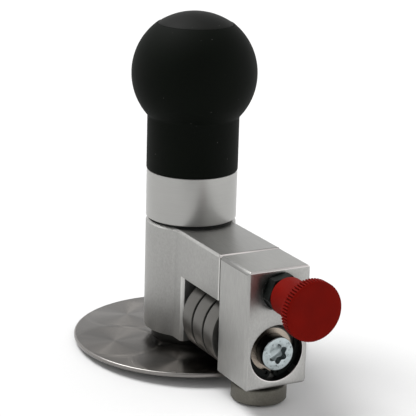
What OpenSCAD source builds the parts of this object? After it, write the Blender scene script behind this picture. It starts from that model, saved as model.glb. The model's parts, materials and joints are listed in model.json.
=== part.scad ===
// Hand-held flanging roller for round sheet-metal edges.
// Origin: centre of the guide disc's underside. +Z up the handle, +X along the arm. Millimetres.

/* [Housing] */
// Diameter of the column that carries the handle
column_d = 36.4; // [34:0.2:46]
// Width of the arm and of the end block
arm_w = 26.8; // [25:0.2:33]
// Height of the arm above the roller pocket
arm_h = 17.9; // [16:0.1:24]
// Gap between the guide disc and the housing
housing_lift = 4.4; // [4:0.1:7]
// Distance from the column to the pocket wall
wall_reach = 1.6; // [1.2:0.1:5]
// Radius of the blend between column and arm
blend_r = 5; // [2:0.5:7]
// Chamfer round the housing's top
housing_edge = 1; // [0.3:0.1:1.4]

/* [Rollers] */
// Outer diameter of the three rollers
roller_d = 30.2; // [26:0.2:36]
// Width of one roller
roller_w = 8.7; // [7:0.1:11]
// Gap between neighbouring rollers, set by a shim
roller_gap = 0.15; // [0.1:0.05:0.5]
// Gap between the rollers and the guide disc, for the sheet
sheet_gap = 1.1; // [0.6:0.1:3]
// Gap between the pocket wall and the first roller
wall_gap = 3.7; // [2:0.1:8]
// Diameter of the sleeve that the rollers turn on
axle_d = 10; // [9.5:0.5:12]

/* [Guide disc] */
// Thickness of the guide disc
disc_t = 1.8; // [1.6:0.1:3]
// How far the disc's rim stays short of the arm's end
rim_inset = 3.2; // [1:0.1:6]
// Diameter of the hub under the column
hub_d = 30; // [26:0.5:34]
// Pitch circle of the screws that hold the disc to the hub
disc_screw_pcd = 20; // [18:0.5:22]

/* [End block] */
// Thickness of the end block along the arm
block_t = 22.35; // [21:0.05:28]
// Gap between the guide disc's top and the block's bottom, seen from the side
block_lift = 2.5; // [2.3:0.1:3.5]
// Chamfer on the block's edges along the arm
long_edge = 1.3; // [0.4:0.1:2]
// Chamfer on the block's edges across the arm
cross_edge = 0.7; // [0.3:0.1:1.5]
// Chamfer on the block's upright edges
upright_edge = 1; // [0.4:0.1:2]
// Running gap between the arm and the block
block_gap = 0.15; // [0.1:0.05:0.4]
// Diameter of the bore round the screw's head
bore_d = 22; // [21:0.1:24]
// Depth of that bore
bore_depth = 4.3; // [3:0.1:6]

/* [Axle screw] */
// Thread diameter of the screw through the rollers
screw_d = 8; // [6:0.5:8]
// Diameter of the screw's low head
head_d = 13; // [11:0.1:14]
// Height of the screw's head
head_h = 5; // [4:0.1:6]

/* [Index plunger] */
// Height of the plunger above the axle
plunger_rise = 24.6; // [24:0.1:26]
// Diameter of the locking pin
pin_d = 6; // [4:0.5:6]
// How far the pin reaches into the arm
pin_reach = 2.5; // [1.5:0.1:4]
// Travel of the pin when the knob is pulled
pin_travel = 5; // [3:0.5:6]
// Width across the flats of the hexagon
hex_af = 13.2; // [13:0.1:15]
// Diameter of the pull knob's flange
pull_d = 23; // [20:0.5:26]
// Diameter of the pull knob's neck
neck_d = 14.8; // [13:0.2:17]

/* [Foot roller] */
// Diameter of the foot roller
foot_d = 21.4; // [18:0.2:24]
// Height of the foot roller
foot_h = 6.3; // [5.5:0.1:8]
// Gap between the block and the foot roller
foot_gap = 1.9; // [1:0.1:3]
// Gap between the disc's rim and the foot roller
foot_clear = 2.5; // [1.5:0.1:4]

/* [Handle] */
// Height of the steel collar
collar_h = 19.4; // [17:0.1:26]
// Gap between the housing and the collar
handle_gap = 1.1; // [0.6:0.1:2]
// Diameter of the ball knob
ball_d = 49.9; // [46:0.1:60]
// Diameter of the knob's shank
shank_d = 36.7; // [34:0.1:42]
// Height from the knob's bottom to the ball's centre
ball_rise = 38.8; // [36:0.1:48]
// Diameter of the cap let into the top of the ball
cap_d = 30.2; // [24:0.2:36]
// Diameter of the stud that the handle turns on
stud_d = 12; // [10:0.5:14]

/* [Hidden] */

$fn = 96;
eps = 0.01;      // overshoot of a cut through a face
play = 0.05;     // radial clearance of a running fit
slip = 0.3;      // clearance between faces that pass each other

// Heights
housing_z0 = disc_t + housing_lift;
axle_z = disc_t + sheet_gap + roller_d / 2;
arm_z = axle_z + roller_d / 2 + 0.2;
housing_z1 = arm_z + arm_h;
collar_z0 = housing_z1 + handle_gap;
collar_z1 = collar_z0 + collar_h;
ball_z = collar_z1 + ball_rise;
block_z0 = disc_t + block_lift;

// Places along the arm
wall_x = column_d / 2 + wall_reach;
roller_pitch = roller_w + roller_gap;
roller_x = [for (i = [0:2]) wall_x + wall_gap + i * roller_pitch];
stack_end = roller_x[2] + roller_w;
arm_end = stack_end + 0.1;
block_x0 = arm_end + block_gap;
block_x1 = block_x0 + block_t;
disc_r = arm_end - rim_inset;
foot_x = disc_r + foot_clear + foot_d / 2;

// Bearings: [outer diameter, bore, width]
spindle_bearing = [22, 10, 6];
roller_bearing = [roller_d, axle_d, roller_w];
pivot_bearing = [19, screw_d, 6];
lower_bearing_z = housing_z0 + 3.2;
upper_bearing_z = lower_bearing_z + 17.6;
circlip_t = 1.1;
circlip_groove = 0.6;

// Pivot bearing and the axle screw
pivot_x1 = block_x1 - bore_depth;
pivot_x0 = pivot_x1 - pivot_bearing[2];
axle_washer_t = 0.35;
head_seat = pivot_x1 + axle_washer_t;
head_x1 = head_seat + head_h;
screw_tip = spindle_bearing[0] / 2 + 1;
sleeve_d = screw_d + 3.6;
block_bore_d = sleeve_d + 2.4;
socket_d = 0.61 * head_d;

// Chamber in the column, above the spindle's bearings
chamber_d = 19;
chamber_z = upper_bearing_z + spindle_bearing[2];
nut_af = 16;
nut_h = 5;
stud_plug_z = chamber_z + nut_h + 4;

// Handle
spigot_d = 22;
spigot_h = 10;
bush_wall = 2;
bush_l = min(8, collar_h / 2 - 1);
spigot_z = collar_z1 + spigot_h;
washer_t = 1.6;
lock_nut_af = 17;
lock_nut_h = 8;
stud_thread_d = stud_d - 2;
stud_top = spigot_z + 0.2 + washer_t + lock_nut_h + 1;
cap_z = ball_z + sqrt(pow(ball_d / 2, 2) - pow(cap_d / 2, 2));
cap_rise = 4.55;
cap_plug_d = cap_d - 7;
cap_plug_h = 4;

// Plunger
plunger_z = axle_z + plunger_rise;
sleeve_od = 12;
sleeve_inset = 3;
hex_turn = 10; // where the sleeve came to rest when it was tightened
spring_d = 8.4;
spring_wire = 0.9;
spring_turns = 7;
washer_face = 0.6;
hex_x0 = block_x1 + washer_face;
hex_h = 4.4;
hex_x1 = hex_x0 + hex_h;
neck_x0 = hex_x1 + 1.1;
flange_w = 4.6;
pull_x1 = neck_x0 + 19.4;
pin_x0 = arm_end - pin_reach;
pin_collar_x = block_x0 + 9;
pin_collar_t = 1.5;
pin_stem_d = 4;

// Foot roller
foot_z1 = block_z0 - foot_gap;
foot_z0 = foot_z1 - foot_h;
foot_screw_d = 5;
foot_shoulder_d = 8;
foot_head_d = 12;
foot_head_h = 2.2;
foot_bush_d = 11;
foot_thread_top = min(block_z0 + 3.7, axle_z - bore_d / 2 + 1);

// ---- shared shapes ----

module tube(od, id, h) {
  difference() {
    cylinder(d = od, h = h);
    translate([0, 0, -1]) cylinder(d = id, h = h + 2);
  }
}

// Puts a shape drawn along +Z onto the axle, pointing along +X
module on_axle(x) {
  translate([x, 0, axle_z]) rotate([0, 90, 0]) children();
}

module on_plunger(x) {
  translate([x, 0, plunger_z]) rotate([0, 90, 0]) children();
}

// Box whose edges along X, Y and Z have the chamfers c[0], c[1] and c[2]
module chamfered_box(low, high, c) {
  size = high - low;
  module profile(a, b, e)
    polygon([[e, 0], [a - e, 0], [a, e], [a, b - e], [a - e, b], [e, b], [0, b - e], [0, e]]);
  translate(low) intersection() {
    linear_extrude(size[2]) profile(size[0], size[1], c[2]);
    translate([0, size[1], 0]) rotate([90, 0, 0]) linear_extrude(size[1]) profile(size[0], size[2], c[1]);
    rotate([90, 0, 90]) linear_extrude(size[0]) profile(size[1], size[2], c[0]);
  }
}

module hex_prism(af, h) {
  rotate([0, 0, 30]) cylinder(d = af / cos(30), h = h, $fn = 6);
}

module hex_nut(af, bore, h) {
  difference() {
    intersection() {
      hex_prism(af, h);
      rotate_extrude() polygon([[0, 0], [af / 2, 0], [af / 2 + h / 5, h / 8], [af / 2 + h / 5, h * 7 / 8],
        [af / 2, h], [0, h]]);
    }
    translate([0, 0, -1]) cylinder(d = bore, h = h + 2);
  }
}

// Ball bearing b = [outer diameter, bore, width], drawn from z = 0 up
function section(b) = (b[0] - b[1]) / 2;
function pitch_r(b) = (b[0] + b[1]) / 4;
function ball_r(b) = min(0.29 * section(b), 0.27 * b[2]);
function ball_count(b) = floor(PI * pitch_r(b) / (ball_r(b) * 1.3));
function race_gap(b) = 0.69 * ball_r(b);

module race(b) {
  translate([0, 0, b[2] / 2]) rotate_extrude()
    translate([pitch_r(b), 0]) circle(r = ball_r(b) + play);
}

// Seats for the seals: a step at both ends of a ring
module seal_steps(b, r, seal_t) {
  for (z = [-1, b[2] - seal_t]) translate([0, 0, z]) cylinder(r = r, h = seal_t + 1);
}

module outer_ring(b, edge, seal_t, seal_r) {
  difference() {
    rotate_extrude() polygon([[pitch_r(b) + race_gap(b), 0], [b[0] / 2 - edge, 0], [b[0] / 2, edge],
      [b[0] / 2, b[2] - edge], [b[0] / 2 - edge, b[2]], [pitch_r(b) + race_gap(b), b[2]]]);
    race(b);
    if (seal_t > 0) seal_steps(b, seal_r, seal_t);
  }
}

module inner_ring(b) {
  difference() {
    tube(2 * (pitch_r(b) - race_gap(b)), b[1], b[2]);
    race(b);
  }
}

module balls(b) {
  for (i = [0:ball_count(b) - 1]) rotate([0, 0, i * 360 / ball_count(b)])
    translate([pitch_r(b), 0, b[2] / 2]) sphere(r = ball_r(b), $fn = 32);
}

module cage(b) {
  h = 2.5 * ball_r(b);
  difference() {
    translate([0, 0, (b[2] - h) / 2])
      tube(2 * pitch_r(b) + 1.04 * ball_r(b), 2 * pitch_r(b) - 1.04 * ball_r(b), h);
    for (i = [0:ball_count(b) - 1]) rotate([0, 0, i * 360 / ball_count(b)])
      translate([0, 0, b[2] / 2]) rotate([0, 90, 0]) cylinder(r = ball_r(b) + play, h = b[0] / 2);
  }
}

// Two shields or seals, held in the outer ring and clear of the inner one
module seals(b, seal_t, seal_r) {
  for (z = [0.05, b[2] - seal_t]) translate([0, 0, z])
    tube(2 * seal_r, 2 * (pitch_r(b) - race_gap(b)) + 0.3, seal_t - 0.05);
}

roller_edge = 0.7;
roller_seal_t = 0.8;
roller_seal_r = roller_d / 2 - 2.2;
pivot_seal_t = 0.5;
pivot_seal_r = pivot_bearing[0] / 2 - 0.9;

// Internal retaining ring for a bore of diameter d, with two drilled lugs at angle 0
module circlip(d, t) {
  lug_r = 1.6;
  lug_at = d / 2 - lug_r - 0.15;
  lug_turn = 15;
  difference() {
    union() {
      difference() {
        cylinder(d = d + 2 * circlip_groove - 0.1, h = t);
        translate([-0.06 * d, 0, -1]) cylinder(d = 0.86 * d, h = t + 2);
        translate([0, 0, -1]) linear_extrude(t + 2)
          polygon([[0, 0], [d, -d * tan(lug_turn - 4)], [d, d * tan(lug_turn - 4)]]);
      }
      for (s = [-1, 1]) rotate([0, 0, s * lug_turn]) translate([lug_at, 0, 0]) cylinder(r = lug_r, h = t);
    }
    for (s = [-1, 1]) rotate([0, 0, s * lug_turn]) translate([lug_at - 0.3, 0, -1])
      cylinder(d = 1.4, h = t + 2);
  }
}

// ---- housing and what is fixed to it ----

// Blend between the column and one side of the arm, with the top chamfer carried round it
module housing_blend(side) {
  c_r = column_d / 2 + blend_r;
  at_y = side * (arm_w / 2 + blend_r);
  at_x = sqrt(c_r * c_r - at_y * at_y);
  touch = column_d / 2 / c_r;
  difference() {
    translate([0, 0, housing_z0]) linear_extrude(housing_z1 - housing_z0)
      polygon([[0, 0], [at_x * touch, at_y * touch], [at_x, at_y], [at_x, 0]]);
    translate([at_x, at_y, 0]) {
      cylinder(r = blend_r, h = housing_z1 + 1);
      translate([0, 0, housing_z1 - housing_edge]) cylinder(r1 = blend_r, r2 = blend_r + housing_edge, h = housing_edge);
    }
  }
}

module housing() {
  w = arm_w / 2;
  wall_edge = housing_edge + 0.2;
  color("silver") difference() {
    union() {
      rotate_extrude() polygon([[0, housing_z0], [column_d / 2, housing_z0],
        [column_d / 2, housing_z1 - housing_edge], [column_d / 2 - housing_edge, housing_z1], [0, housing_z1]]);
      for (side = [-1, 1]) housing_blend(side);
      translate([0, 0, housing_z0]) linear_extrude(arm_z + 1 - housing_z0)
        polygon([[0, -w], [wall_x - wall_edge, -w], [wall_x, -w + wall_edge], [wall_x, w - wall_edge],
          [wall_x - wall_edge, w], [0, w]]);
      rotate([90, 0, 90]) linear_extrude(arm_end) polygon([[-w + 0.3, arm_z], [w - 0.3, arm_z], [w, arm_z + 0.3],
        [w, housing_z1 - housing_edge], [w - housing_edge, housing_z1],
        [-w + housing_edge, housing_z1], [-w, housing_z1 - housing_edge], [-w, arm_z + 0.3]]);
    }
    // seat of the spindle's bearings, and the chamber above it
    translate([0, 0, housing_z0 - 1]) cylinder(d = spindle_bearing[0], h = chamber_z - housing_z0 + 1);
    cylinder(d = chamber_d, h = housing_z1 + 1);
    translate([0, 0, lower_bearing_z - circlip_t - 0.05])
      cylinder(d = spindle_bearing[0] + 2 * circlip_groove, h = circlip_t + 0.05);
    // thread of the axle screw
    on_axle(0) cylinder(d = screw_d, h = wall_x + 1);
    // groove for the locking pin: round end on the centre line, open to +Y
    on_plunger(pin_x0 - 0.5) cylinder(d = pin_d + 0.4, h = pin_reach + 1);
    intersection() {
      on_axle(pin_x0 - 0.5) difference() {
        cylinder(r = plunger_rise + pin_d / 2 + 0.2, h = pin_reach + 1);
        translate([0, 0, -1]) cylinder(r = plunger_rise - pin_d / 2 - 0.2, h = pin_reach + 3);
      }
      translate([pin_x0 - 1, 0, axle_z]) cube([pin_reach + 3, arm_w, plunger_rise + pin_d]);
    }
  }
}

module lower_bearing_outer_ring() {
  color("gainsboro") translate([0, 0, lower_bearing_z]) outer_ring(spindle_bearing, 0.3, 0, 0);
}

module upper_bearing_outer_ring() {
  color("gainsboro") translate([0, 0, upper_bearing_z]) outer_ring(spindle_bearing, 0.3, 0, 0);
}

module bearing_spacer() {
  z = lower_bearing_z + spindle_bearing[2];
  color("silver") translate([0, 0, z]) tube(spindle_bearing[0], spindle_bearing[0] - 3.5, upper_bearing_z - z);
}

module housing_circlip() {
  color("dimgray") translate([0, 0, lower_bearing_z - circlip_t]) rotate([0, 0, 180])
    circlip(spindle_bearing[0], circlip_t);
}

module handle_stud() {
  color("darkgray") {
    translate([0, 0, stud_plug_z]) cylinder(d = chamber_d, h = housing_z1 - stud_plug_z);
    translate([0, 0, stud_plug_z]) cylinder(d = stud_d, h = spigot_z + 0.2 - stud_plug_z);
    translate([0, 0, spigot_z]) cylinder(d = stud_thread_d, h = stud_top - spigot_z);
  }
}

module thrust_washer() {
  color("black") translate([0, 0, housing_z1]) tube(column_d - 3, stud_d, handle_gap - play);
}

module handle_washer() {
  color("silver") translate([0, 0, spigot_z + 0.2]) tube(20, stud_thread_d, washer_t);
}

module handle_nut() {
  color("silver") translate([0, 0, spigot_z + 0.2 + washer_t]) hex_nut(lock_nut_af, stud_thread_d, lock_nut_h);
}

module roller_sleeve() {
  color("darkgray") on_axle(wall_x) {
    tube(axle_d, screw_d, stack_end - wall_x + eps);
    translate([0, 0, stack_end - wall_x]) tube(sleeve_d, screw_d, pivot_x0 - stack_end);
  }
}

module axle_screw() {
  color("lightsteelblue") difference() {
    union() {
      on_axle(screw_tip) cylinder(d = screw_d, h = head_seat - screw_tip + eps);
      on_axle(head_seat) rotate_extrude() polygon([[0, 0], [head_d / 2, 0], [head_d / 2, head_h - 0.4],
        [head_d / 2 - 0.4, head_h], [0, head_h]]);
    }
    // six-lobed socket
    on_axle(head_x1 - 3) linear_extrude(4) difference() {
      circle(d = socket_d);
      for (i = [0:5]) rotate([0, 0, i * 60 + 30]) translate([socket_d * 0.53, 0]) circle(d = socket_d * 0.36);
    }
  }
}

module axle_washer() {
  color("dimgray") on_axle(pivot_x1) tube(pivot_bearing[1] + 3, screw_d, axle_washer_t);
}

module axle_spacer() {
  color("darkgray") on_axle(wall_x) tube(axle_d + 4, axle_d, wall_gap);
}

module axle_shims() {
  color("silver") for (i = [0, 1]) on_axle(roller_x[i] + roller_w) tube(axle_d + 3, axle_d, roller_gap);
}

module roller_inner_ring(i) {
  color("gray") on_axle(roller_x[i]) inner_ring(roller_bearing);
}

module pivot_bearing_inner_ring() {
  color("gray") on_axle(pivot_x0) inner_ring(pivot_bearing);
}

// ---- guide disc and its spindle ----

module guide_disc() {
  rim = disc_t * 0.35;
  color("silver") difference() {
    rotate_extrude() {
      square([disc_r - rim, disc_t]);
      translate([0, rim]) square([disc_r, disc_t - 2 * rim]);
      for (z = [rim, disc_t - rim]) translate([disc_r - rim, z]) circle(r = rim, $fn = 48);
    }
    disc_screw_places() {
      cylinder(d1 = 6, d2 = 3, h = 1.5);
      translate([0, 0, -1]) cylinder(d = 3, h = disc_t + 2);
    }
  }
}

module disc_screw_places() {
  for (i = [0:2]) rotate([0, 0, i * 120 + 60]) translate([disc_screw_pcd / 2, 0, 0]) children();
}

module disc_screws() {
  color("dimgray") disc_screw_places() difference() {
    union() {
      cylinder(d1 = 6, d2 = 3, h = 1.5);
      translate([0, 0, 0.5]) cylinder(d = 3, h = disc_t + housing_lift - 1.6 - 0.5);
    }
    translate([0, 0, -1]) cylinder(d = 2 / cos(30), h = 1.9, $fn = 6);
  }
}

module disc_spindle() {
  hub_top = housing_z0 - slip;
  shoulder_d = spindle_bearing[1] + 3;
  color("silver") difference() {
    union() {
      translate([0, 0, disc_t]) rotate_extrude() polygon([[0, 0], [hub_d / 2, 0],
        [hub_d / 2, hub_top - disc_t - 0.8], [hub_d / 2 - 0.8, hub_top - disc_t], [0, hub_top - disc_t]]);
      translate([0, 0, disc_t]) cylinder(d = shoulder_d, h = lower_bearing_z - disc_t);
      translate([0, 0, disc_t]) cylinder(d = spindle_bearing[1], h = chamber_z + nut_h + 2 - disc_t);
    }
    disc_screw_places() translate([0, 0, disc_t - 1]) cylinder(d = 3, h = housing_lift - 1.6 + 1);
  }
}

module spindle_spacer() {
  z = lower_bearing_z + spindle_bearing[2];
  color("silver") translate([0, 0, z]) tube(spindle_bearing[1] + 3, spindle_bearing[1], upper_bearing_z - z);
}

module spindle_nut() {
  color("dimgray") translate([0, 0, chamber_z]) hex_nut(nut_af, spindle_bearing[1], nut_h);
}

module lower_bearing_inner_ring() {
  color("gainsboro") translate([0, 0, lower_bearing_z]) inner_ring(spindle_bearing);
}

module upper_bearing_inner_ring() {
  color("gainsboro") translate([0, 0, upper_bearing_z]) inner_ring(spindle_bearing);
}

module lower_bearing_balls() {
  color("white") translate([0, 0, lower_bearing_z]) balls(spindle_bearing);
}

module upper_bearing_balls() {
  color("white") translate([0, 0, upper_bearing_z]) balls(spindle_bearing);
}

// ---- handle ----

module handle_collar() {
  edge = 0.35;
  color("silver") difference() {
    rotate_extrude() polygon([[0, collar_z0], [column_d / 2 - edge, collar_z0],
      [column_d / 2, collar_z0 + edge], [column_d / 2, collar_z1 - edge],
      [column_d / 2 - edge, collar_z1], [spigot_d / 2, collar_z1],
      [spigot_d / 2, spigot_z - 1], [spigot_d / 2 - 1, spigot_z], [0, spigot_z]]);
    translate([0, 0, collar_z0 - 1]) cylinder(d = stud_d + 2 * bush_wall, h = spigot_z - collar_z0 + 2);
  }
}

module handle_bushes() {
  color("peru") for (z = [collar_z0, spigot_z - bush_l]) translate([0, 0, z])
    tube(stud_d + 2 * bush_wall, stud_d + 2 * play, bush_l);
}

module knob_insert() {
  color("goldenrod") translate([0, 0, collar_z1 + 1]) tube(spigot_d + 5, spigot_d, spigot_h - 2);
}

// Half outline of the knob, right of its axis, without the hollow
module knob_outline() {
  r_b = ball_d / 2;
  r_s = shank_d / 2;
  fillet = 2;
  foot_round = 0.7;
  fillet_z = ball_z - sqrt(pow(r_b + fillet, 2) - pow(r_s + fillet, 2));
  touch = r_b / (r_b + fillet);
  intersection() {
    union() {
      translate([0, ball_z]) circle(r = r_b);
      translate([0, collar_z1 + foot_round]) square([r_s, fillet_z - collar_z1 - foot_round]);
      translate([0, collar_z1]) square([r_s - foot_round, 2 * foot_round]);
      translate([r_s - foot_round, collar_z1 + foot_round]) circle(r = foot_round, $fn = 48);
      difference() {
        polygon([[0, fillet_z], [r_s + fillet, fillet_z],
          [(r_s + fillet) * touch, ball_z + (fillet_z - ball_z) * touch], [0, ball_z]]);
        translate([r_s + fillet, fillet_z]) circle(r = fillet, $fn = 48);
      }
    }
    translate([0, collar_z1]) square([ball_d, cap_z - collar_z1]);
  }
}

module ball_knob() {
  color([0.12, 0.12, 0.12]) difference() {
    rotate_extrude() knob_outline();
    translate([0, 0, collar_z1 - 1]) cylinder(d = spigot_d, h = stud_top + 2 - collar_z1 + 1);
    translate([0, 0, collar_z1 + 1]) cylinder(d = spigot_d + 5, h = spigot_h - 2);
    translate([0, 0, cap_z - cap_plug_h]) cylinder(d = cap_plug_d, h = cap_plug_h + 1);
  }
}

module knob_cap() {
  r = cap_d / 2 - 0.1;
  dome_r = (r * r + cap_rise * cap_rise) / (2 * cap_rise);
  color([0.14, 0.14, 0.14]) rotate_extrude() {
    intersection() {
      translate([0, cap_z + cap_rise - dome_r]) circle(r = dome_r);
      translate([0, cap_z]) square([r, cap_rise + 1]);
    }
    translate([0, cap_z - cap_plug_h + 0.2]) square([cap_plug_d / 2, cap_plug_h]);
  }
}

// ---- the three rollers ----

module roller_outer_ring(i) {
  color("dimgray") on_axle(roller_x[i]) outer_ring(roller_bearing, roller_edge, roller_seal_t, roller_seal_r);
}

module roller_balls(i) {
  color("white") on_axle(roller_x[i]) balls(roller_bearing);
}

module roller_cage(i) {
  color("tan") on_axle(roller_x[i]) cage(roller_bearing);
}

module roller_seals(i) {
  color("black") on_axle(roller_x[i]) seals(roller_bearing, roller_seal_t, roller_seal_r);
}

// ---- end block ----

module end_block() {
  color("silver") difference() {
    chamfered_box([block_x0, -arm_w / 2, block_z0], [block_x1, arm_w / 2, housing_z1],
      [long_edge, cross_edge, upright_edge]);
    on_axle(block_x0 - 1) cylinder(d = block_bore_d, h = block_t);
    on_axle(pivot_x0) cylinder(d = pivot_bearing[0], h = block_t);
    on_axle(pivot_x1) cylinder(d = bore_d, h = block_t);
    on_axle(pivot_x1) cylinder(d = bore_d + 2 * circlip_groove, h = circlip_t + 0.05);
    on_plunger(block_x0 - 1) cylinder(d = pin_d + 0.4, h = block_t + 2);
    on_plunger(block_x0 + sleeve_inset) cylinder(d = sleeve_od, h = block_t + 2);
    translate([foot_x, 0, block_z0 - 1]) cylinder(d = foot_screw_d, h = foot_thread_top - block_z0 + 1);
  }
}

module pivot_bearing_outer_ring() {
  color("gray") on_axle(pivot_x0) outer_ring(pivot_bearing, 0.3, pivot_seal_t, pivot_seal_r);
}

module pivot_bearing_balls() {
  color("white") on_axle(pivot_x0) balls(pivot_bearing);
}

module pivot_bearing_shields() {
  color("tan") on_axle(pivot_x0) seals(pivot_bearing, pivot_seal_t, pivot_seal_r);
}

module block_circlip() {
  color([0.15, 0.15, 0.15]) on_axle(pivot_x1) circlip(bore_d, circlip_t);
}

module plunger_washer() {
  color("dimgray") on_plunger(block_x1) tube(hex_af + 1.2, sleeve_od, washer_face);
}

module plunger_sleeve() {
  inner_l = block_x0 + sleeve_inset;
  end_wall = 2;
  color([0.1, 0.1, 0.1]) difference() {
    union() {
      on_plunger(inner_l) cylinder(d = sleeve_od, h = hex_x0 - inner_l + 1);
      on_plunger(hex_x0) rotate([0, 0, hex_turn]) hex_nut(hex_af, 1, hex_h);
    }
    on_plunger(inner_l - 1) cylinder(d = pin_d + 2 * play, h = pin_collar_x - inner_l + 1);
    on_plunger(pin_collar_x - 0.2) cylinder(d = spring_d + 0.6, h = hex_x1 - end_wall - pin_collar_x + 0.2);
    on_plunger(hex_x0) cylinder(d = pin_stem_d + 2 * play, h = hex_h + 1);
  }
}

module foot_washer() {
  color("dimgray") translate([foot_x, 0, foot_z1 + play]) tube(foot_bush_d, foot_screw_d, foot_gap - play);
}

module foot_screw() {
  color("dimgray") translate([foot_x, 0, 0]) difference() {
    union() {
      translate([0, 0, foot_z0 + 0.4]) cylinder(d = foot_head_d, h = foot_head_h);
      translate([0, 0, foot_z0 + 0.5]) cylinder(d = foot_shoulder_d, h = foot_h - 0.5 + play);
      translate([0, 0, foot_z1 - 1]) cylinder(d = foot_screw_d, h = foot_thread_top - foot_z1 + 1);
    }
    translate([0, 0, foot_z0]) cylinder(d = 4 / cos(30), h = 2.6, $fn = 6);
  }
}

// ---- index plunger ----

module plunger_pin() {
  color("lightgray") {
    on_plunger(pin_x0) rotate_extrude() polygon([[0, 0], [pin_d / 2 - 0.5, 0], [pin_d / 2, 0.5],
      [pin_d / 2, pin_collar_x - pin_x0], [0, pin_collar_x - pin_x0]]);
    on_plunger(pin_collar_x) cylinder(d = spring_d, h = pin_collar_t);
    on_plunger(pin_collar_x) cylinder(d = pin_stem_d, h = neck_x0 + 10 - pin_collar_x);
  }
}

// Coil spring between the pin's collar and the end wall of the sleeve
module plunger_spring() {
  steps = 20;
  sides = 8;
  x0 = pin_collar_x + pin_collar_t + spring_wire / 2 + 0.02;
  x1 = hex_x1 - 2 - spring_wire / 2 - 0.02;
  r = (spring_d - spring_wire) / 2 - 0.1;
  rings = spring_turns * steps;
  function ring_point(i, j) = let (a = 360 * i / steps, b = 360 * j / sides,
      rr = r + spring_wire / 2 * cos(b), along = x0 + (x1 - x0) * i / rings + spring_wire / 2 * sin(b))
    [along, rr * cos(a), plunger_z + rr * sin(a)];
  points = [for (i = [0:rings]) for (j = [0:sides - 1]) ring_point(i, j)];
  walls = [for (i = [0:rings - 1]) for (j = [0:sides - 1]) let (k = (j + 1) % sides)
    [i * sides + j, i * sides + k, (i + 1) * sides + k, (i + 1) * sides + j]];
  color("silver") polyhedron(points, concat(walls, [[for (j = [sides - 1:-1:0]) j]],
    [[for (j = [0:sides - 1]) rings * sides + j]]), convexity = 8);
}

module pull_knob() {
  round_r = 0.9;
  x0 = pull_x1 - flange_w;
  color("firebrick") difference() {
    on_plunger(0) rotate_extrude() difference() {
      union() {
        translate([0, neck_x0]) square([neck_d / 2, x0 - neck_x0 + 1]);
        translate([0, x0]) square([pull_d / 2, flange_w - round_r]);
        translate([0, pull_x1 - 2 * round_r]) square([pull_d / 2 - round_r, 2 * round_r]);
        translate([pull_d / 2 - round_r, pull_x1 - round_r]) circle(r = round_r, $fn = 48);
      }
      translate([0, pull_x1 + 95]) circle(r = 95.25, $fn = 360);
    }
    on_plunger(neck_x0 - 1) cylinder(d = pin_stem_d, h = 11);
  }
}

// ---- foot roller ----

module foot_roller() {
  edge = 0.5;
  color("gray") translate([foot_x, 0, 0]) difference() {
    rotate_extrude() polygon([[0, foot_z0], [foot_d / 2 - edge, foot_z0], [foot_d / 2, foot_z0 + edge],
      [foot_d / 2, foot_z1 - edge], [foot_d / 2 - edge, foot_z1], [0, foot_z1]]);
    translate([0, 0, foot_z0 - 1]) cylinder(d = foot_bush_d, h = foot_h + 2);
    translate([0, 0, foot_z0 - 1]) cylinder(d = foot_head_d + 1, h = foot_head_h + 0.6 + 1);
  }
}

module foot_bush() {
  z = foot_z0 + foot_head_h + 0.6;
  color("peru") translate([foot_x, 0, z]) tube(foot_bush_d, foot_shoulder_d + 2 * play, foot_z1 - z);
}

housing();
lower_bearing_outer_ring();
upper_bearing_outer_ring();
bearing_spacer();
housing_circlip();
handle_stud();
handle_washer();
handle_nut();
thrust_washer();
roller_sleeve();
axle_screw();
axle_washer();
axle_spacer();
axle_shims();
roller_inner_ring(0);  // roller_1_inner_ring
roller_inner_ring(1);  // roller_2_inner_ring
roller_inner_ring(2);  // roller_3_inner_ring
pivot_bearing_inner_ring();
guide_disc();
disc_spindle();
disc_screws();
spindle_spacer();
spindle_nut();
lower_bearing_inner_ring();
upper_bearing_inner_ring();
lower_bearing_balls();
upper_bearing_balls();
handle_collar();
handle_bushes();
knob_insert();
ball_knob();
knob_cap();
roller_outer_ring(0);  // roller_1_outer_ring
roller_balls(0);  // roller_1_balls
roller_cage(0);  // roller_1_cage
roller_seals(0);  // roller_1_seals
roller_outer_ring(1);  // roller_2_outer_ring
roller_balls(1);  // roller_2_balls
roller_cage(1);  // roller_2_cage
roller_seals(1);  // roller_2_seals
roller_outer_ring(2);  // roller_3_outer_ring
roller_balls(2);  // roller_3_balls
roller_cage(2);  // roller_3_cage
roller_seals(2);  // roller_3_seals
end_block();
pivot_bearing_outer_ring();
pivot_bearing_balls();
pivot_bearing_shields();
block_circlip();
plunger_sleeve();
plunger_washer();
foot_screw();
foot_washer();
plunger_pin();
plunger_spring();
pull_knob();
foot_roller();
foot_bush();
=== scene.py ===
"""Looks of a hand-held flanging roller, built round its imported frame. Lengths are in metres."""
import json
from itertools import combinations
from math import acos, asin, atan2, cos, degrees, pi, radians, sin, sqrt, tan

import bmesh
import bpy
from bpy.props import FloatProperty, FloatVectorProperty, IntProperty, PointerProperty
from mathutils import Matrix, Vector


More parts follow.
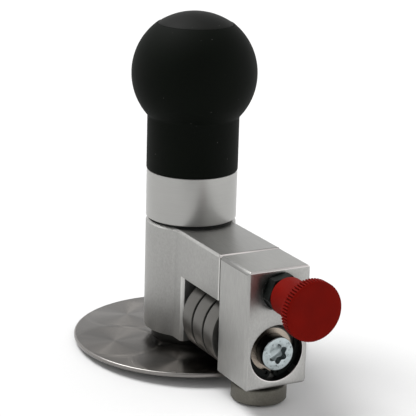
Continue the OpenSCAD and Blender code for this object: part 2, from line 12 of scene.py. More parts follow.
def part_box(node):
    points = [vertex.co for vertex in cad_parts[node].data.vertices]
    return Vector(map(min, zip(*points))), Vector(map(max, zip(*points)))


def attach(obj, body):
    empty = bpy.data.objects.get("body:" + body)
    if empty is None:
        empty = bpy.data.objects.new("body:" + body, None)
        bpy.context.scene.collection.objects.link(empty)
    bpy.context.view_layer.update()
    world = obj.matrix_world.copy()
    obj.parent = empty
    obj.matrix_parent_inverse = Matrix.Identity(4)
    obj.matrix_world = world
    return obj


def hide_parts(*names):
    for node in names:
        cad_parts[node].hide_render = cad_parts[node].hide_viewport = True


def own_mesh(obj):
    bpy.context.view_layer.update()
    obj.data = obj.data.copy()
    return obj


bl_info = {
    "name": "Flanging Roller Looks",
    "version": (1, 0, 0),
    "blender": (4, 5, 0),
    "location": "View3D > Sidebar > Flanging Roller",
    "description": "Builds the visible pieces and finishes of a hand-held flanging roller",
    "category": "Object",
}

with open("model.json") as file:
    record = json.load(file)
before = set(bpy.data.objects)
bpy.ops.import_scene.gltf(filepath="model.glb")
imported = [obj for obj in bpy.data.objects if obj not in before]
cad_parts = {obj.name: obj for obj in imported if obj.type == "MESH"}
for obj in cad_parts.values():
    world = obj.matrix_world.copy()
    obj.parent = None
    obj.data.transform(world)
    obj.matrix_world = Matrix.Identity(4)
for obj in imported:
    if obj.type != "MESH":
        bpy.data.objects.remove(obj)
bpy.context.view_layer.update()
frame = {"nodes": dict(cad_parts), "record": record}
MM = 0.001
SHARP = radians(28)  # a turn between two faces that is shaded as an edge
HEX_LEAN = radians(20)  # how far a corner of the sleeve's hexagon leans from straight up


# ---- places and sizes taken from the frame ----

def low(node):
    """The lowest corner of a node's box."""
    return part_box(node)[0]


def high(node):
    """The highest corner of a node's box."""
    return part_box(node)[1]


def middle(node):
    """The middle of a node's box."""
    return (low(node) + high(node)) / 2


COLUMN_R = high("handle_collar").x
ARM_HALF = high("end_block").y  # half the arm's width, which the block shares
BODY_BOTTOM = low("housing").z
BODY_TOP = high("housing").z
ARM_END = high("housing").x
WALL_X = low("axle_spacer").x  # the wall that the rollers' axle starts from
ARM_UNDER = high("roller_1_outer_ring").z + 0.2 * MM
AXLE_Z = middle("axle_screw").z
PLUNGER_Z = middle("pull_knob").z
BLOCK_LOW, BLOCK_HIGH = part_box("end_block")
# The disc is held by three screws, which come up through it into its hub.
DISC_SCREWS = [(10 * MM * cos(radians(turn)), 10 * MM * sin(radians(turn)), 0) for turn in (60, 180, 300)]


# ---- settings ----

class EdgeSettings(bpy.types.PropertyGroup):
    housing_chamfer: FloatProperty(name="Housing chamfer", description="Chamfer round the housing's top",
                                   default=1.0 * MM, min=0.2 * MM, max=1.4 * MM, unit="LENGTH")
    housing_blend: FloatProperty(name="Housing blend", description="Radius between column and arm",
                                 default=5.0 * MM, min=2 * MM, max=7 * MM, unit="LENGTH")
    block_long: FloatProperty(name="Block long chamfer", default=1.3 * MM, min=0.3 * MM, max=2 * MM,
                              description="Chamfer on the block's edges along the arm", unit="LENGTH")
    block_cross: FloatProperty(name="Block cross chamfer", default=0.7 * MM, min=0.3 * MM, max=2 * MM,
                               description="Chamfer on the block's edges across the arm", unit="LENGTH")
    block_upright: FloatProperty(name="Block upright chamfer", default=1.0 * MM, min=0.3 * MM, max=2 * MM,
                                 description="Chamfer on the block's upright edges", unit="LENGTH")
    break_width: FloatProperty(name="Edge break", description="Small round on every machined edge",
                               default=0.22 * MM, min=0.02 * MM, max=0.35 * MM, unit="LENGTH")
    bore_d: FloatProperty(name="Block bore", description="Diameter of the bore round the axle screw's head",
                          default=22 * MM, min=20 * MM, max=24 * MM, unit="LENGTH")


class KnobSettings(bpy.types.PropertyGroup):
    teeth: IntProperty(name="Teeth", description="Grip teeth round the pull knob's flange",
                       default=58, min=24, max=90)
    tooth_depth: FloatProperty(name="Tooth depth", description="Depth of the gaps between the teeth",
                               default=0.75 * MM, min=0.1 * MM, max=1 * MM, unit="LENGTH")
    cap_groove: FloatProperty(name="Cap groove", description="Width of the groove round the ball's cap",
                              default=0.3 * MM, min=0.05 * MM, max=0.6 * MM, unit="LENGTH")


class FinishSettings(bpy.types.PropertyGroup):
    steel: FloatVectorProperty(name="Steel", description="Colour of the machined stainless steel",
                               subtype="COLOR", default=(0.335, 0.333, 0.322), min=0, max=1)
    # Painted highlight: chamfers and edge rounds in this colour, about twice as pale as the steel, show as
    # bright lines.
    bright_edge: FloatVectorProperty(name="Bright edge", description="Colour of the milled chamfers",
                                     subtype="COLOR", default=(0.70, 0.665, 0.65), min=0, max=1)
    disc: FloatVectorProperty(name="Disc", description="Colour of the guide disc",
                              subtype="COLOR", default=(0.106, 0.098, 0.090), min=0, max=1)
    roller: FloatVectorProperty(name="Rollers", description="Colour of the hardened roller rings",
                                subtype="COLOR", default=(0.125, 0.121, 0.113), min=0, max=1)
    knob: FloatVectorProperty(name="Ball knob", description="Colour of the soft-touch ball knob",
                              subtype="COLOR", default=(0.0013, 0.0023, 0.0012), min=0, max=1)
    pull: FloatVectorProperty(name="Pull knob", description="Colour of the plunger's pull knob",
                              subtype="COLOR", default=(0.138, 0.0028, 0.0008), min=0, max=1)
    oxide: FloatVectorProperty(name="Black oxide", description="Colour of the blackened steel",
                               subtype="COLOR", default=(0.0035, 0.0048, 0.0042), min=0, max=1)
    zinc: FloatVectorProperty(name="Zinc plate", description="Colour of the plated screw",
                              subtype="COLOR", default=(0.42, 0.475, 0.485), min=0, max=1)


class StageSettings(bpy.types.PropertyGroup):
    azimuth: FloatProperty(name="Azimuth", description="Camera direction round the object, 0 looks along +Y",
                           default=radians(62.266), subtype="ANGLE")
    elevation: FloatProperty(name="Elevation", description="Camera angle above the guide disc's plane",
                             default=radians(16.127), subtype="ANGLE")
    roll: FloatProperty(name="Roll", description="Camera roll", default=radians(1.575), subtype="ANGLE")
    distance: FloatProperty(name="Distance", description="From the camera to the point it looks at",
                            default=0.67642, unit="LENGTH")
    aim_side: FloatProperty(name="Aim aside", description="How far right of the handle the camera aims",
                            default=0.00328, unit="LENGTH")
    aim_height: FloatProperty(name="Aim height", description="Height of the point the camera aims at",
                              default=0.05557, unit="LENGTH")
    lens: FloatProperty(name="Lens", description="Focal length in millimetres", default=144.98, min=20)
    sun: FloatProperty(name="Key light", description="Strength of the soft key light", default=3.0, min=0)
    sky: FloatProperty(name="Studio", description="Strength of the studio's white surround",
                       default=1.45, min=0)
    floor: FloatVectorProperty(name="Floor", description="Colour of the floor", subtype="COLOR",
                               default=(0.72, 0.72, 0.72), min=0, max=1)


# ---- mesh helpers ----

def arc(centre, radius, start, end, steps):
    """Points on an arc round a 2D centre, angles in degrees, both ends included."""
    angles = [radians(start + (end - start) * i / steps) for i in range(steps + 1)]
    return [(centre[0] + radius * cos(a), centre[1] + radius * sin(a)) for a in angles]


def rounded(corners, closed=False, steps=5):
    """A 2D line through corners (u, v, radius), each turned on its own radius."""
    points = []
    count = len(corners)
    for i, (u, v, radius) in enumerate(corners):
        here = Vector((u, v))
        if radius <= 0 or (not closed and i in (0, count - 1)):
            points.append((u, v))
            continue
        back = (Vector(corners[i - 1][:2]) - here).normalized()
        ahead = (Vector(corners[(i + 1) % count][:2]) - here).normalized()
        half = acos(max(-1, min(1, back.dot(ahead)))) / 2
        centre = here + (back + ahead).normalized() * radius / sin(half)
        first = here + back * radius / tan(half) - centre
        last = here + ahead * radius / tan(half) - centre
        turn = atan2(first.cross(last), first.dot(last))
        for k in range(steps + 1):
            spin = Matrix.Rotation(turn * k / steps, 2)
            points.append(tuple(centre + spin @ first))
    return points


def linked(name, data):
    """A new object in the scene."""
    obj = bpy.data.objects.new(name, data)
    bpy.context.scene.collection.objects.link(obj)
    return obj


def from_bmesh(name, bm):
    """A new object from a bmesh, which is freed."""
    mesh = bpy.data.meshes.new(name)
    bm.to_mesh(mesh)
    bm.free()
    return linked(name, mesh)


def discard(obj):
    """Removes an object and its mesh."""
    mesh = obj.data
    bpy.data.objects.remove(obj)
    bpy.data.meshes.remove(mesh)


def mesh_object(name, vertices, faces):
    """A new object from vertices and faces, turned to face outwards."""
    mesh = bpy.data.meshes.new(name)
    mesh.from_pydata([tuple(v) for v in vertices], [], faces)
    obj = linked(name, mesh)
    face_outwards(obj)
    return obj


def face_outwards(obj):
    """Merges doubled vertices and turns every face outwards."""
    bm = bmesh.new()
    bm.from_mesh(obj.data)
    bmesh.ops.remove_doubles(bm, verts=bm.verts, dist=1e-7)
    bmesh.ops.recalc_face_normals(bm, faces=bm.faces)
    bm.to_mesh(obj.data)
    bm.free()


def lathe(name, profile, segments=160, ring=False, axis="Z", at=(0, 0, 0)):
    """Turns a profile of (radius, height) about Z, or about X with height along X.
    A solid's profile starts and ends on the axis. A ring's profile is a closed loop."""
    vertices, rows = [], []
    for radius, height in profile:
        if radius < 1e-9:
            rows.append([len(vertices)])
            vertices.append((0, 0, height))
            continue
        rows.append(list(range(len(vertices), len(vertices) + segments)))
        turns = [2 * pi * k / segments for k in range(segments)]
        vertices += [(radius * cos(t), radius * sin(t), height) for t in turns]
    faces = []
    pairs = list(zip(rows, rows[1:])) + ([(rows[-1], rows[0])] if ring else [])
    for one, two in pairs:
        for k in range(segments):
            n = (k + 1) % segments
            if len(one) == 1 and len(two) > 1:
                faces.append((one[0], two[k], two[n]))
            elif len(two) == 1 and len(one) > 1:
                faces.append((one[k], two[0], one[n]))
            elif len(one) > 1:
                faces.append((one[k], two[k], two[n], one[n]))
    obj = mesh_object(name, vertices, faces)
    if axis == "X":
        obj.data.transform(Matrix(((0, 0, 1, 0), (0, 1, 0, 0), (-1, 0, 0, 0), (0, 0, 0, 1))))
    obj.data.transform(Matrix.Translation(Vector(at)))
    return obj


def on_axle(name, profile, segments, ring=False):
    """A lathed shape about the rollers' axle, which runs along X."""
    return lathe(name, profile, segments, ring, "X", (0, 0, AXLE_Z))


def on_plunger(name, profile, segments):
    """A lathed shape about the plunger, which runs along X."""
    return lathe(name, profile, segments, False, "X", (0, 0, PLUNGER_Z))


def stepped(start, *steps):
    """A solid's profile from one height up: each step is a radius and the height it reaches to."""
    profile, height = [(0, start)], start
    for radius, end in steps:
        profile += [(radius, height), (radius, end)]
        height = end
    return profile + [(0, height)]


def prism(name, outline, x0, x1):
    """A solid with a (y, z) outline between two places along X."""
    count = len(outline)
    vertices = [(x, y, z) for x in (x0, x1) for y, z in outline]
    faces = [tuple(range(count)), tuple(range(2 * count - 1, count - 1, -1))]
    faces += [(i, (i + 1) % count, count + (i + 1) % count, count + i) for i in range(count)]
    return mesh_object(name, vertices, faces)


def applied(obj):
    """Turns an object's modifiers into plain mesh."""
    view = bpy.context.evaluated_depsgraph_get()
    view.update()
    mesh = bpy.data.meshes.new_from_object(obj.evaluated_get(view))
    obj.modifiers.clear()
    old = obj.data
    obj.data = mesh
    bpy.data.meshes.remove(old)
    return obj


def cut(obj, *tools, operation="DIFFERENCE"):
    """Cuts closed tools out of an object, or joins them to it, and removes the tools."""
    for tool in tools:
        step = obj.modifiers.new("cut", "BOOLEAN")
        step.operation, step.solver, step.object = operation, "EXACT", tool
        applied(obj)
        discard(tool)
    return obj


def break_edges(obj, width, angle=radians(24), segments=2, paint=-1):
    """A small round on every edge that is sharper than angle, with its own material slot if paint is set."""
    bm = bmesh.new()
    bm.from_mesh(obj.data)
    bmesh.ops.dissolve_limit(bm, angle_limit=radians(0.05), verts=bm.verts, edges=bm.edges)
    bm.to_mesh(obj.data)
    bm.free()
    step = obj.modifiers.new("edges", "BEVEL")
    step.width = width
    step.segments = segments
    step.limit_method = "ANGLE"
    step.angle_limit = angle
    step.material = paint
    step.use_clamp_overlap = True
    return applied(obj)


def smooth(obj, angle=SHARP):
    """Smooth shading, but sharp where two faces meet at more than angle."""
    obj.data.polygons.foreach_set("use_smooth", [True] * len(obj.data.polygons))
    obj.data.set_sharp_from_angle(angle=angle)
    obj.data.update()


def place(obj, body, slot, nodes, *finishes, angle=SHARP):
    """Ends a piece: smooth shading, its finishes or else its slot's own, and its body. It hides the CAD nodes
    that it stands for."""
    smooth(obj, angle)
    for name in finishes or (slot,):
        obj.data.materials.append(FINISHES[name])
    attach(obj, body)
    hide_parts(*nodes)
    return obj


def paint_faces(obj, index, chosen):
    """Gives the chosen faces the finish with that place in the piece's list."""
    for face in obj.data.polygons:
        if chosen(face):
            face.material_index = index


def from_axle(face):
    """How far a face's middle is from the axle's centre line."""
    return Vector((face.center.y, face.center.z - AXLE_Z)).length


# ---- finishes ----

FINISHES = {}


def feed(links, sockets, values):
    """Gives each socket its value: a link from another socket, or plain numbers."""
    for socket, value in zip(sockets, values):
        if isinstance(value, bpy.types.NodeSocket):
            links.new(value, socket)
        else:
            socket.default_value = value


class Finish:
    """A procedural material on Object coordinates, put together a layer at a time."""

    def __init__(self, name, colour, roughness, metallic=0.0, anisotropic=0.0, specular=0.5):
        self.material = bpy.data.materials.new(name)
        self.material.use_nodes = True
        self.tree = self.material.node_tree
        self.shader = self.tree.nodes["Principled BSDF"]
        self.shader.inputs["Metallic"].default_value = metallic
        self.shader.inputs["Anisotropic"].default_value = anisotropic
        self.shader.inputs["Specular IOR Level"].default_value = specular
        self.coords = self.node("ShaderNodeTexCoord").outputs["Object"]
        self.colour = self.node("ShaderNodeRGB").outputs[0]
        self.colour.default_value = (*colour, 1)
        self.roughness = roughness
        self.height = None

    def node(self, kind, **settings):
        made = self.tree.nodes.new(kind)
        for key, value in settings.items():
            setattr(made, key, value)
        return made

    def link(self, source, target):
        self.tree.links.new(source, target)

    def math(self, operation, a, b=0.0):
        made = self.node("ShaderNodeMath", operation=operation)
        feed(self.tree.links, made.inputs, (a, b))
        return made.outputs[0]

    def vector(self, operation, *values):
        """One vector operation: a number if it measures something, or else a vector."""
        made = self.node("ShaderNodeVectorMath", operation=operation)
        feed(self.tree.links, made.inputs, values)
        return made.outputs["Value" if operation in ("DISTANCE", "DOT_PRODUCT", "LENGTH") else "Vector"]

    def axes(self):
        """The coordinates' x, y and z."""
        split = self.node("ShaderNodeSeparateXYZ")
        self.link(self.coords, split.inputs[0])
        return tuple(split.outputs)

    def join(self, x, y, z):
        made = self.node("ShaderNodeCombineXYZ")
        feed(self.tree.links, made.inputs, (x, y, z))
        return made.outputs[0]

    def round_axis(self, axis):
        """Coordinates (angle, radius, height) round Z, or round the axle along X."""
        x, y, z = self.axes()
        if axis == "X":
            x, y, z = self.math("SUBTRACT", z, AXLE_Z), y, x
        squares = self.math("ADD", self.math("MULTIPLY", x, x), self.math("MULTIPLY", y, y))
        return self.math("ARCTAN2", y, x), self.math("SQRT", squares), z

    def spread(self, value, start, end, to_start, to_end):
        """Maps one range on to another, held at its ends."""
        made = self.node("ShaderNodeMapRange")
        self.link(value, made.inputs["Value"])
        for name, number in zip(("From Min", "From Max", "To Min", "To Max"), (start, end, to_start, to_end)):
            made.inputs[name].default_value = number
        return made.outputs["Result"]

    def noise(self, scale, stretch=(1, 1, 1), detail=3.0, rough=0.55, coords=None):
        """Noise with scale cycles a metre, drawn out along the axes by stretch."""
        mapping = self.node("ShaderNodeMapping")
        mapping.inputs["Scale"].default_value = stretch
        self.link(coords or self.coords, mapping.inputs["Vector"])
        made = self.node("ShaderNodeTexNoise")
        made.inputs["Scale"].default_value = scale
        made.inputs["Detail"].default_value = detail
        made.inputs["Roughness"].default_value = rough
        self.link(mapping.outputs["Vector"], made.inputs["Vector"])
        return made.outputs["Fac"]

    def spots(self, scale):
        """Distance from the nearest of many scattered points, scale of them a metre."""
        made = self.node("ShaderNodeTexVoronoi")
        made.inputs["Scale"].default_value = scale
        self.link(self.coords, made.inputs["Vector"])
        return made.outputs["Distance"]

    def shade(self, factor):
        """Multiplies the colour by a grey factor."""
        made = self.node("ShaderNodeVectorMath", operation="SCALE")
        self.link(self.colour, made.inputs[0])
        self.link(factor, made.inputs["Scale"])
        self.colour = made.outputs["Vector"]
        return self

    def vary(self, value, share):
        """Darkens and brightens the colour by up to share, as a noise goes."""
        return self.shade(self.spread(value, 0.3, 0.7, 1 - share, 1 + share))

    def tint(self, factor, colour):
        """Mixes the colour towards another one."""
        made = self.node("ShaderNodeMix", data_type="RGBA")
        self.link(factor, made.inputs["Factor"])
        self.link(self.colour, made.inputs["A"])
        made.inputs["B"].default_value = (*colour, 1)
        self.colour = made.outputs["Result"]
        return self

    def rougher(self, value, amount):
        """Adds a textured part, centred on nothing, to the roughness."""
        part = self.math("MULTIPLY", self.math("SUBTRACT", value, 0.5), amount)
        self.roughness = self.math("ADD", part, self.roughness)
        return self

    def raised(self, value, depth):
        """Adds a textured height, in metres, to the bump."""
        part = self.math("MULTIPLY", value, depth)
        self.height = part if self.height is None else self.math("ADD", part, self.height)
        return self

    def grooves(self, across):
        """Stretches highlights along across, the direction at right angles to the grooves."""
        self.link(across, self.shader.inputs["Tangent"])
        return self

    def done(self):
        self.link(self.colour, self.shader.inputs["Base Color"])
        if isinstance(self.roughness, (int, float)):
            self.shader.inputs["Roughness"].default_value = self.roughness
        else:
            self.link(self.math("MAXIMUM", self.roughness, 0.05), self.shader.inputs["Roughness"])
        if self.height is not None:
            bump = self.node("ShaderNodeBump")
            bump.inputs["Distance"].default_value = 1.0
            self.link(self.height, bump.inputs["Height"])
            self.link(bump.outputs["Normal"], self.shader.inputs["Normal"])
        return self.material


def grained_steel(name, colour, stretch, roughness=0.34, contrast=0.05, blotch=0.05):
    """Machined steel: fine grain, drawn out along an axis by stretch, with soft larger clouds."""
    steel = Finish(name, colour, roughness, metallic=1.0)
    grain = steel.noise(1, stretch, detail=3, rough=0.6)
    clouds = steel.noise(55, detail=3)
    steel.vary(grain, contrast).vary(clouds, blotch)
    return steel.rougher(grain, 0.1).rougher(clouds, 0.1).raised(grain, 0.0008 * MM)


def front_steel_painted_light(name, colour):
    """The block's face towards the pull knob, painted up to 1.28 times paler towards its foot as painted
    light.
    """
    steel = grained_steel(name, colour, (1700, 1700, 1000), 0.34, 0.09, 0.04)
    height = steel.axes()[2]
    return steel.shade(steel.spread(height, 4 * MM, 26 * MM, 1.28, 1.0))


def turned_steel(name, colour, axis="Z", roughness=0.28, contrast=0.05, stretch=0.5):
    """Lathe-turned steel: fine rings round the axis, which draw highlights out along it."""
    steel = Finish(name, colour, roughness, metallic=1.0, anisotropic=stretch)
    angle, radius, height = steel.round_axis(axis)
    coords = steel.join(steel.math("MULTIPLY", angle, 0.0003), radius, height)
    rings = steel.noise(6000, detail=2, rough=0.6, coords=coords)
    clouds = steel.noise(60, detail=2)
    steel.vary(rings, contrast)
    steel.rougher(rings, 0.1).rougher(clouds, 0.08).raised(rings, 0.0003 * MM)
    return steel.grooves(steel.join(*((0, 0, 1) if axis == "Z" else (1, 0, 0))))


def swirled_steel(name, colour):
    """Sheet steel finished with a turning pad: overlapping round whirls of fine arcs. The bright and dark
    fans round each centre and the glint along one fixed direction are painted reflections in the colour."""
    steel = Finish(name, colour, 0.25, metallic=1.0, anisotropic=0.85)
    x, y, _ = steel.axes()
    flat = steel.join(x, y, 0.0)
    ring_r, whirls, first = 0.69 * high("guide_disc").x, 6, radians(34)
    pad_r, fade = 20 * MM, 5 * MM
    centre = (0.0, 0.0, 0.0)
    for k in range(whirls):
        turn = 2 * pi * k / whirls - first
        whirl = (ring_r * cos(turn), ring_r * sin(turn), 0.0)
        under_pad = steel.spread(steel.vector("DISTANCE", flat, whirl), pad_r, pad_r - fade, 0, 1)
        pick = steel.node("ShaderNodeMix", data_type="VECTOR")
        sockets = [pick.inputs[socket] for socket in ("Factor", "A", "B")]
        feed(steel.tree.links, sockets, (under_pad, centre, whirl))
        centre = pick.outputs["Result"]
    arm = steel.vector("SUBTRACT", flat, centre)
    ray = steel.vector("NORMALIZE", arm)
    own_place = steel.vector("MULTIPLY_ADD", centre, (90, 90, 90), ray)
    # painted reflection: the fans' bright and dark wedges and the glint are painted into the colour; the fans
    # also vary the roughness
    fans = steel.noise(1.7, detail=2, rough=0.5, coords=own_place)
    facing = steel.vector("DOT_PRODUCT", ray, (0.885, -0.465, 0))
    painted_glint = steel.math("POWER", steel.math("ABSOLUTE", facing), 8)
    arcs = steel.noise(4200, detail=2, coords=steel.join(steel.vector("LENGTH", arm), 0.0, 0.0))
    clouds = steel.noise(70, detail=3)
    steel.shade(steel.spread(fans, 0.34, 0.66, 0.8, 1.2)).shade(steel.spread(painted_glint, 0, 1, 0.84, 1.42))
    steel.vary(clouds, 0.07).vary(arcs, 0.03)
    steel.rougher(fans, 0.08).rougher(clouds, 0.06).raised(arcs, 0.0003 * MM)
    return steel.grooves(ray)


def fanned_steel(name, colour):
    """Turned ring facing along the axle, with bright and dark fans round it painted in as painted reflection.
    """
    steel = Finish(name, colour, 0.25, metallic=1.0, anisotropic=0.85)
    _, y, z = steel.axes()
    ray = steel.vector("NORMALIZE", steel.join(0, y, steel.math("SUBTRACT", z, AXLE_Z)))
    rings = steel.noise(6000, detail=2, coords=steel.join(steel.round_axis("X")[1], 0, 0))
    steel.vary(rings, 0.1).rougher(rings, 0.1).raised(rings, 0.0006 * MM)
    # painted reflection: paler towards the upper right and lower left, darker across
    facing = steel.vector("DOT_PRODUCT", ray, (0, cos(radians(40)), sin(radians(40))))
    steel.shade(steel.spread(steel.math("ABSOLUTE", facing), 0.4, 0.85, 0.15, 1.15))
    return steel.grooves(ray)


def soft_touch(name, colour, roughness=0.68):
    """Matt soft-touch plastic: a fine pebble, faint handling marks and a few specks of dust."""
    plastic = Finish(name, colour, roughness, specular=0.062)
    pebble = plastic.noise(2600, detail=2)
    marks = plastic.noise(90, (1, 1, 0.5), detail=4)
    near = plastic.math("LESS_THAN", plastic.spots(420), 0.085)
    rare = plastic.math("GREATER_THAN", plastic.noise(300, detail=0), 0.6)
    plastic.shade(plastic.spread(marks, 0.3, 0.7, 0.85, 1.2))
    dust = plastic.math("MULTIPLY", plastic.math("MULTIPLY", near, rare), 0.5)
    return plastic.tint(dust, (0.09, 0.09, 0.085)).rougher(marks, 0.12).raised(pebble, 0.006 * MM)


def moulded(name, colour, roughness=0.6, specular=0.04):
    """Moulded satin plastic with a fine eroded skin."""
    plastic = Finish(name, colour, roughness, specular=specular)
    skin = plastic.noise(3200, detail=2)
    clouds = plastic.noise(140, detail=3)
    return plastic.vary(clouds, 0.1).rougher(clouds, 0.12).raised(skin, 0.004 * MM)


def blackened(name, colour):
    """Black oxide on steel: dark, a little oily, with paler rubbed clouds."""
    oxide = Finish(name, colour, 0.5, specular=0.12)
    clouds = oxide.noise(220, detail=4)
    fine = oxide.noise(3000, detail=2)
    oxide.shade(oxide.spread(clouds, 0.3, 0.75, 0.75, 1.6))
    return oxide.rougher(clouds, 0.2).raised(fine, 0.003 * MM)


def plated(name, colour):
    """Blue-white zinc plate: mottled, with small dents from the barrel."""
    zinc = Finish(name, colour, 0.34, metallic=1.0)
    mottle = zinc.noise(520, detail=5, rough=0.7)
    pits = zinc.spread(zinc.spots(560), 0.16, 0.36, 0, 1)
    rare = zinc.spread(zinc.noise(900, detail=1), 0.44, 0.5, 0, 1)
    flat = zinc.math("MAXIMUM", pits, zinc.math("SUBTRACT", 1, rare))
    zinc.vary(mottle, 0.14).shade(zinc.spread(flat, 0, 1, 0.4, 1.0))
    return zinc.rougher(mottle, 0.25).raised(flat, 0.02 * MM)


def build_finishes(colours):
    """Every finish by the record's slot name, and the extra ones that some pieces add. Each is its recipe's
    function, its colour, and then that function's own numbers in order."""
    def steel(factor):
        return tuple(factor * part for part in colours.steel)

    recipes = {
        "machined_steel": (grained_steel, steel(1.02), (1300, 1300, 900), 0.48, 0.08),
        "block_steel": (grained_steel, steel(1.08), (2000, 2000, 260), 0.47, 0.09, 0.04),
        "block_top_steel": (grained_steel, steel(1.1), (200, 2000, 2000), 0.46, 0.06, 0.05),
        # painted light: the front face is painted paler towards its foot
        "block_front_steel": (front_steel_painted_light, steel(1.1)),
        # painted shade: a darker copy of the block's steel for its chamfer along the -Y top edge
        "chamfer_steel": (grained_steel, steel(0.62), (200, 2000, 2000), 0.4),
        "arm_top_steel": (grained_steel, steel(0.93), (200, 2000, 2000), 0.36, 0.1, 0.07),
        # painted highlight: steel 1.75 times as pale, for the wall's upright chamfers
        "strip_steel": (grained_steel, steel(1.75), (900, 900, 100), 0.4),
        # painted highlight on chamfers and edge rounds
        "bright_edge": (grained_steel, colours.bright_edge, (60, 60, 60), 0.3, 0.04, 0.03),
        "foot_steel": (grained_steel, (0.135, 0.129, 0.111), (1500, 1500, 1500), 0.5, 0.16, 0.12),
        "cage_steel": (grained_steel, (0.40, 0.37, 0.32), (400, 400, 400), 0.4),
        "ball_steel": (grained_steel, (0.72, 0.72, 0.73), (200, 200, 200), 0.12, 0.03),
        "bronze": (grained_steel, (0.50, 0.31, 0.15), (900, 900, 900), 0.4, 0.12),
        "turned_steel": (turned_steel, steel(1.06), "Z", 0.36, 0.035, 0.4),
        # painted shade: near-black steel for the hub under the column
        "hub_steel": (turned_steel, (0.03, 0.03, 0.028), "Z", 0.35, 0.05, 0.0),
        "disc_rim": (turned_steel, (0.22, 0.21, 0.20), "Z", 0.28, 0.05, 0.0),
        "brass": (turned_steel, (0.66, 0.50, 0.22), "Z", 0.3),
        "roller_steel": (turned_steel, colours.roller, "X", 0.36, 0.06, 0.3),
        "bearing_steel": (turned_steel, (0.05, 0.05, 0.047), "X", 0.34, 0.06),
        "brushed_disc": (swirled_steel, colours.disc),
        "shield_steel": (fanned_steel, (0.36, 0.31, 0.26)),
        "zinc_plate": (plated, colours.zinc),
        # nearly black zinc for the screw head's side and edge rounds
        "screw_side": (plated, (0.03, 0.033, 0.033)),
        # painted shade: darker zinc for the walls of the socket
        "socket_steel": (plated, (0.17, 0.19, 0.19)),
        "black_oxide": (blackened, colours.oxide),
        # painted shade: near black for the roller rings' faces and shoulders
        "ring_face": (blackened, (0.02, 0.02, 0.018)),
        "soft_touch_black": (soft_touch, colours.knob),
        # painted highlight: the cap is painted paler than the ball for the knob's lit top
        "black_cap": (soft_touch, (0.0085, 0.009, 0.0082), 0.58),
        "red_plastic": (moulded, colours.pull),
        "black_polymer": (moulded, (0.005, 0.006, 0.0055), 0.6, 0.2),
    }
    for name, (make, *how) in recipes.items():
        FINISHES[name] = make(name, *how).done()


# ---- pieces ----

def housing_flanks(blend):
    """The plan's line round the column, from one side of the arm through both blends to the other side."""
    centre, at_y = COLUMN_R + blend, ARM_HALF + blend
    at_x = sqrt(centre ** 2 - at_y ** 2)
    lean = degrees(asin(at_y / centre))
    line = arc((at_x, -at_y), blend, 90, 180 - lean, 10)
    line += arc((0, 0), COLUMN_R, -lean, -360 + lean, 120)[1:]
    return line + arc((at_x, at_y), blend, 180 + lean, 270, 10)[1:]


def inset(outline, width):
    """The outline moved inwards by width, each point along the mean of its two edges' normals."""
    moved = []
    for i, point in enumerate(outline):
        here = Vector(point)
        back = (here - Vector(outline[i - 1])).normalized()
        ahead = (Vector(outline[(i + 1) % len(outline)]) - here).normalized()
        normal = Vector((back.y + ahead.y, -back.x - ahead.x)).normalized()
        spread = max(0.3, sqrt((1 + back.dot(ahead)) / 2))
        moved.append(tuple(here + normal * width / spread))
    return moved


